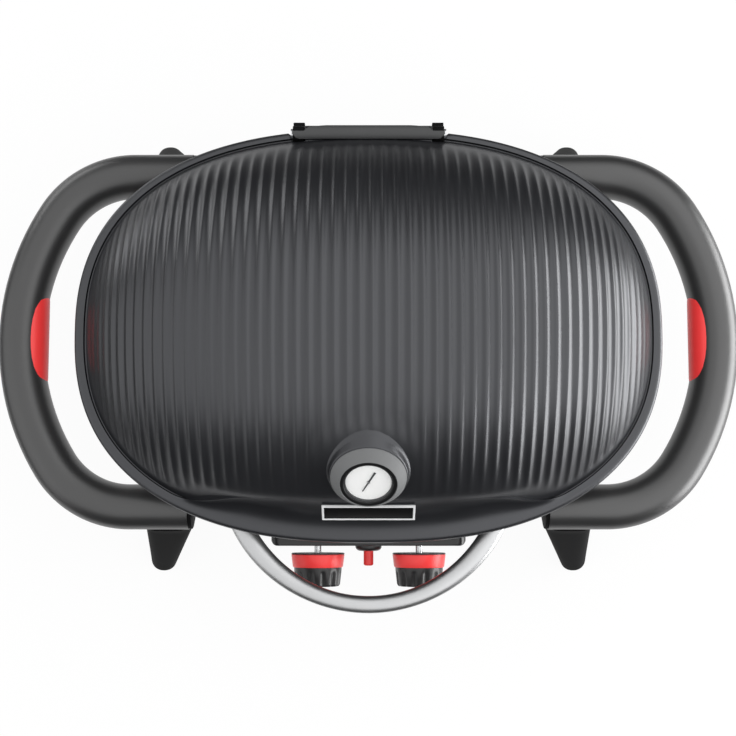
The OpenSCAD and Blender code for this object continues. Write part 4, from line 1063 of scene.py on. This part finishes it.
# Igniter: black collar and red push button
FACING = Matrix.Translation((0, -PANEL_FRONT, KNOB_Z)) @ Matrix.Rotation(math.radians(90), 4, "X")
shape = new_shape()
lathe(shape, [(4.9, 5.6), (8.5, 5.6), (10.6, 5.0), (12.0, 3.9), (12.8, 2.4), (13.0, 1.0), (13.0, 0),
              (8.0, 0), (8.0, -3), (12.0, -3), (12.0, -8), (8.0, -8), (8.0, -38), (4.9, -38)], FACING, 72)
show(shape, "igniter_collar", "base", GRIP_COAT, ("igniter_housing",), 35)
shape = new_shape()
lathe(shape, [(0, -18), (4.85, -18), (4.85, 18.2), (4.6, 19.1), (3.9, 19.7), (3.0, 20.0), (0, 20.0)],
      FACING, 48, False)
show(shape, "igniter_cap", "igniter_button", RED_PLASTIC, ("igniter_button",), 35)

# Hinge cover: a curved bar over the knuckle, cut back at its rear corners to clear the ears
cover_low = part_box("hinge_cover")[0]
COVER_FRONT = math.degrees(math.acos((cover_low.y / MM - MIDDLE_Y - HINGE_Y) / COVER_R))
COVER_STEPS = (COVER_HALF, COVER_HALF - 0.5, COVER_HALF - 2, COVER_HALF - 4, COVER_HALF - 7,
               62, 60.5, 59, 57, 54, 50, 46, 40, 20)
COVER_STATIONS = [-x for x in COVER_STEPS] + [0] + list(reversed(COVER_STEPS))


def cover_corner(turn, x):
    """Half of the turns run over the bar's outside from its rear edge, the others back along its inside."""
    rear = 50 + 12 * smoothstep(40, 58, abs(x)) + 24 * smoothstep(57, 62, abs(x))
    front = COVER_FRONT - 26 * smoothstep(COVER_HALF - 7, COVER_HALF, abs(x)) ** 2
    share = 1 - abs(2 * turn - 1)
    angle = math.radians(between(rear, front, share))
    radius = COVER_R if turn <= 0.5 else KNUCKLE_R + 0.1
    return Vector((x, HINGE_Y + radius * math.cos(angle), HINGE_Z + radius * math.sin(angle)))


shape = new_shape()
loft(shape, 48, COVER_STATIONS, cover_corner)
show(shape, "hinge_bar", "lid", COVER_COAT, ("hinge_cover",), 45, 0.5)

# Pieces whose solid has the right shape get softened edges
rounded_copy("control_panel", "base", PANEL_COAT, 1.6)
rounded_copy("hinge_bracket", "base", LEG_COAT_WITH_PAINTED_SHADE, 0.6)
for side in ("left", "right"):
    rounded_copy(side + "_grate", "base", IRON, 1.4)
    rounded_copy(side + "_tray_rail", "base", TRAY_STEEL, 0.3)
    rounded_copy(side + "_handle_mount", "lid", LEG_COAT_WITH_PAINTED_SHADE, 0.8)
rounded_copy("drip_tray", "drip_tray", TRAY_STEEL, 0.4)

# Small solids keep their own shape and get the finish of their material
NODE_PAINTS = {
    "handle_bolts": STEEL, "panel_screws": STEEL, "hinge_pins": STEEL, "bracket_screws": STEEL,
    "rail_screws": STEEL, "cover_screws": STEEL, "handle_screws": STEEL, "thermometer_stem": STEEL,
    "thermometer_nut": STEEL, "left_valve_stem": STEEL, "right_valve_stem": STEEL, "gas_manifold": STEEL,
    "left_burner": STEEL, "right_burner": STEEL, "gas_inlet": BRASS, "left_valve": BRASS,
    "right_valve": BRASS, "left_electrode": CERAMIC, "right_electrode": CERAMIC, "rim_stops": RUBBER,
}
for node, paint in NODE_PAINTS.items():
    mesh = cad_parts[node].data
    mesh.materials.clear()
    mesh.materials.append(paint)


# Floor, backdrop, light and camera; lengths here are in metres
FLOOR_W = 1.2
FLOOR_FRONT = -0.45
FLOOR_REAR = 0.5
BOARD_WHITE = 0.93
ROOM_LIGHT = 0.07
BACKDROP_W = 5.4
BACKDROP_FAR = 6.5


def pale_paint():
    """Board that camera, transmitted and mirrored rays see as white; other rays see its pale paint."""
    material = bpy.data.materials.new("pale board")
    material.use_nodes = True
    material.node_tree.nodes.clear()
    nodes = Nodes(material.node_tree)
    seen, through, mirrored = nodes.node("ShaderNodeLightPath", {}, {},
                                         ("Is Camera Ray", "Is Transmission Ray", "Is Glossy Ray"))
    share = nodes.node("ShaderNodeMath", {"operation": "MAXIMUM"},
                       {0: (seen + through) * BOARD_WHITE, 1: mirrored})
    white = nodes.node("ShaderNodeEmission", {}, {"Color": (1, 1, 1, 1)})
    board = nodes.node("ShaderNodeBsdfDiffuse", {}, {"Color": (0.82, 0.82, 0.82, 1)})
    blend = nodes.node("ShaderNodeMixShader", {}, {0: share, 1: board, 2: white})
    nodes.node("ShaderNodeOutputMaterial", {}, {"Surface": blend})
    return material


def pale_sheet(name, width, front, rear):
    """A flat sheet of pale board, which isn't part of the object."""
    shape = bmesh.new()
    bmesh.ops.create_grid(shape, x_segments=1, y_segments=1, size=0.5,
                          matrix=Matrix.Translation((0, (front + rear) / 2, 0))
                          @ Matrix.Diagonal((width, rear - front, 1, 1)))
    mesh = bpy.data.meshes.new(name)
    shape.to_mesh(mesh)
    shape.free()
    sheet = bpy.data.objects.new(name, mesh)
    scene.collection.objects.link(sheet)
    mesh.materials.append(PALE_BOARD)
    return sheet


def make_room():
    room = bpy.data.worlds.new("room")
    room.use_nodes = True
    room.node_tree.nodes.clear()
    nodes = Nodes(room.node_tree)
    dim = nodes.node("ShaderNodeBackground", {}, {"Color": (0.8, 0.8, 0.8, 1), "Strength": ROOM_LIGHT})
    nodes.node("ShaderNodeOutputWorld", {}, {"Surface": dim})
    scene.world = room


def soft_light(name, spot, aim, width, height, power):
    lamp = bpy.data.lights.new(name, "AREA")
    lamp.shape = "RECTANGLE"
    lamp.size = width
    lamp.size_y = height
    lamp.energy = power
    holder = bpy.data.objects.new(name, lamp)
    holder.location = spot
    holder.rotation_euler = (Vector(aim) - Vector(spot)).to_track_quat("-Z", "Y").to_euler()
    scene.collection.objects.link(holder)


PALE_BOARD = pale_paint()
pale_sheet("floor", FLOOR_W, FLOOR_FRONT, FLOOR_REAR)
make_room()
soft_light("top softbox", (0.0, -0.1, 2.4), (0.0, -0.1, 0.0), 7.0, 6.2, 158)
soft_light("rear top softbox", (1.5, 4.4, 2.4), (1.5, 4.4, 0.0), 4.0, 2.8, 40)
soft_light("top right softbox", (2.3, -0.1, 2.35), (2.3, -0.1, 0.0), 4.0, 6.2, 47)
soft_light("right softbox", (1.8, -0.15, 0.15), (0.2, 0.0, 0.25), 2.4, 1.1, 62)
soft_light("left softbox", (-2.2, -0.4, 0.7), (-0.2, 0.0, 0.25), 3.0, 1.6, 17)
soft_light("rear left softbox", (-1.2, 1.2, 0.2), (-0.1, 0.1, 0.25), 1.0, 0.5, 5)

# The photo's view: height and y are in millimetres, the tilt in radians, the focus in pixels
VIEW_HEIGHT = 1491.65
VIEW_Y = -169.376
VIEW_TILT = 0.1045
VIEW_FOCUS = 1371.46
PICTURE = 736
camera = bpy.data.cameras.new("camera")
camera.sensor_width = 36.0
camera.lens = camera.sensor_width * VIEW_FOCUS / PICTURE
camera.shift_x = -0.5 / PICTURE
camera.clip_start = 0.01
eye = bpy.data.objects.new("camera", camera)
eye.location = TO_FRAME @ Vector((0, VIEW_Y, VIEW_HEIGHT))
eye.rotation_euler = (VIEW_TILT, 0, 0)
scene.collection.objects.link(eye)
scene.camera = eye

# The backdrop stands behind the object, square to the camera; from above, the floor hides it
backdrop = pale_sheet("backdrop", BACKDROP_W, -BACKDROP_W / 2, BACKDROP_W / 2)
backdrop.parent = eye
backdrop.location = (0, 0, -BACKDROP_FAR)
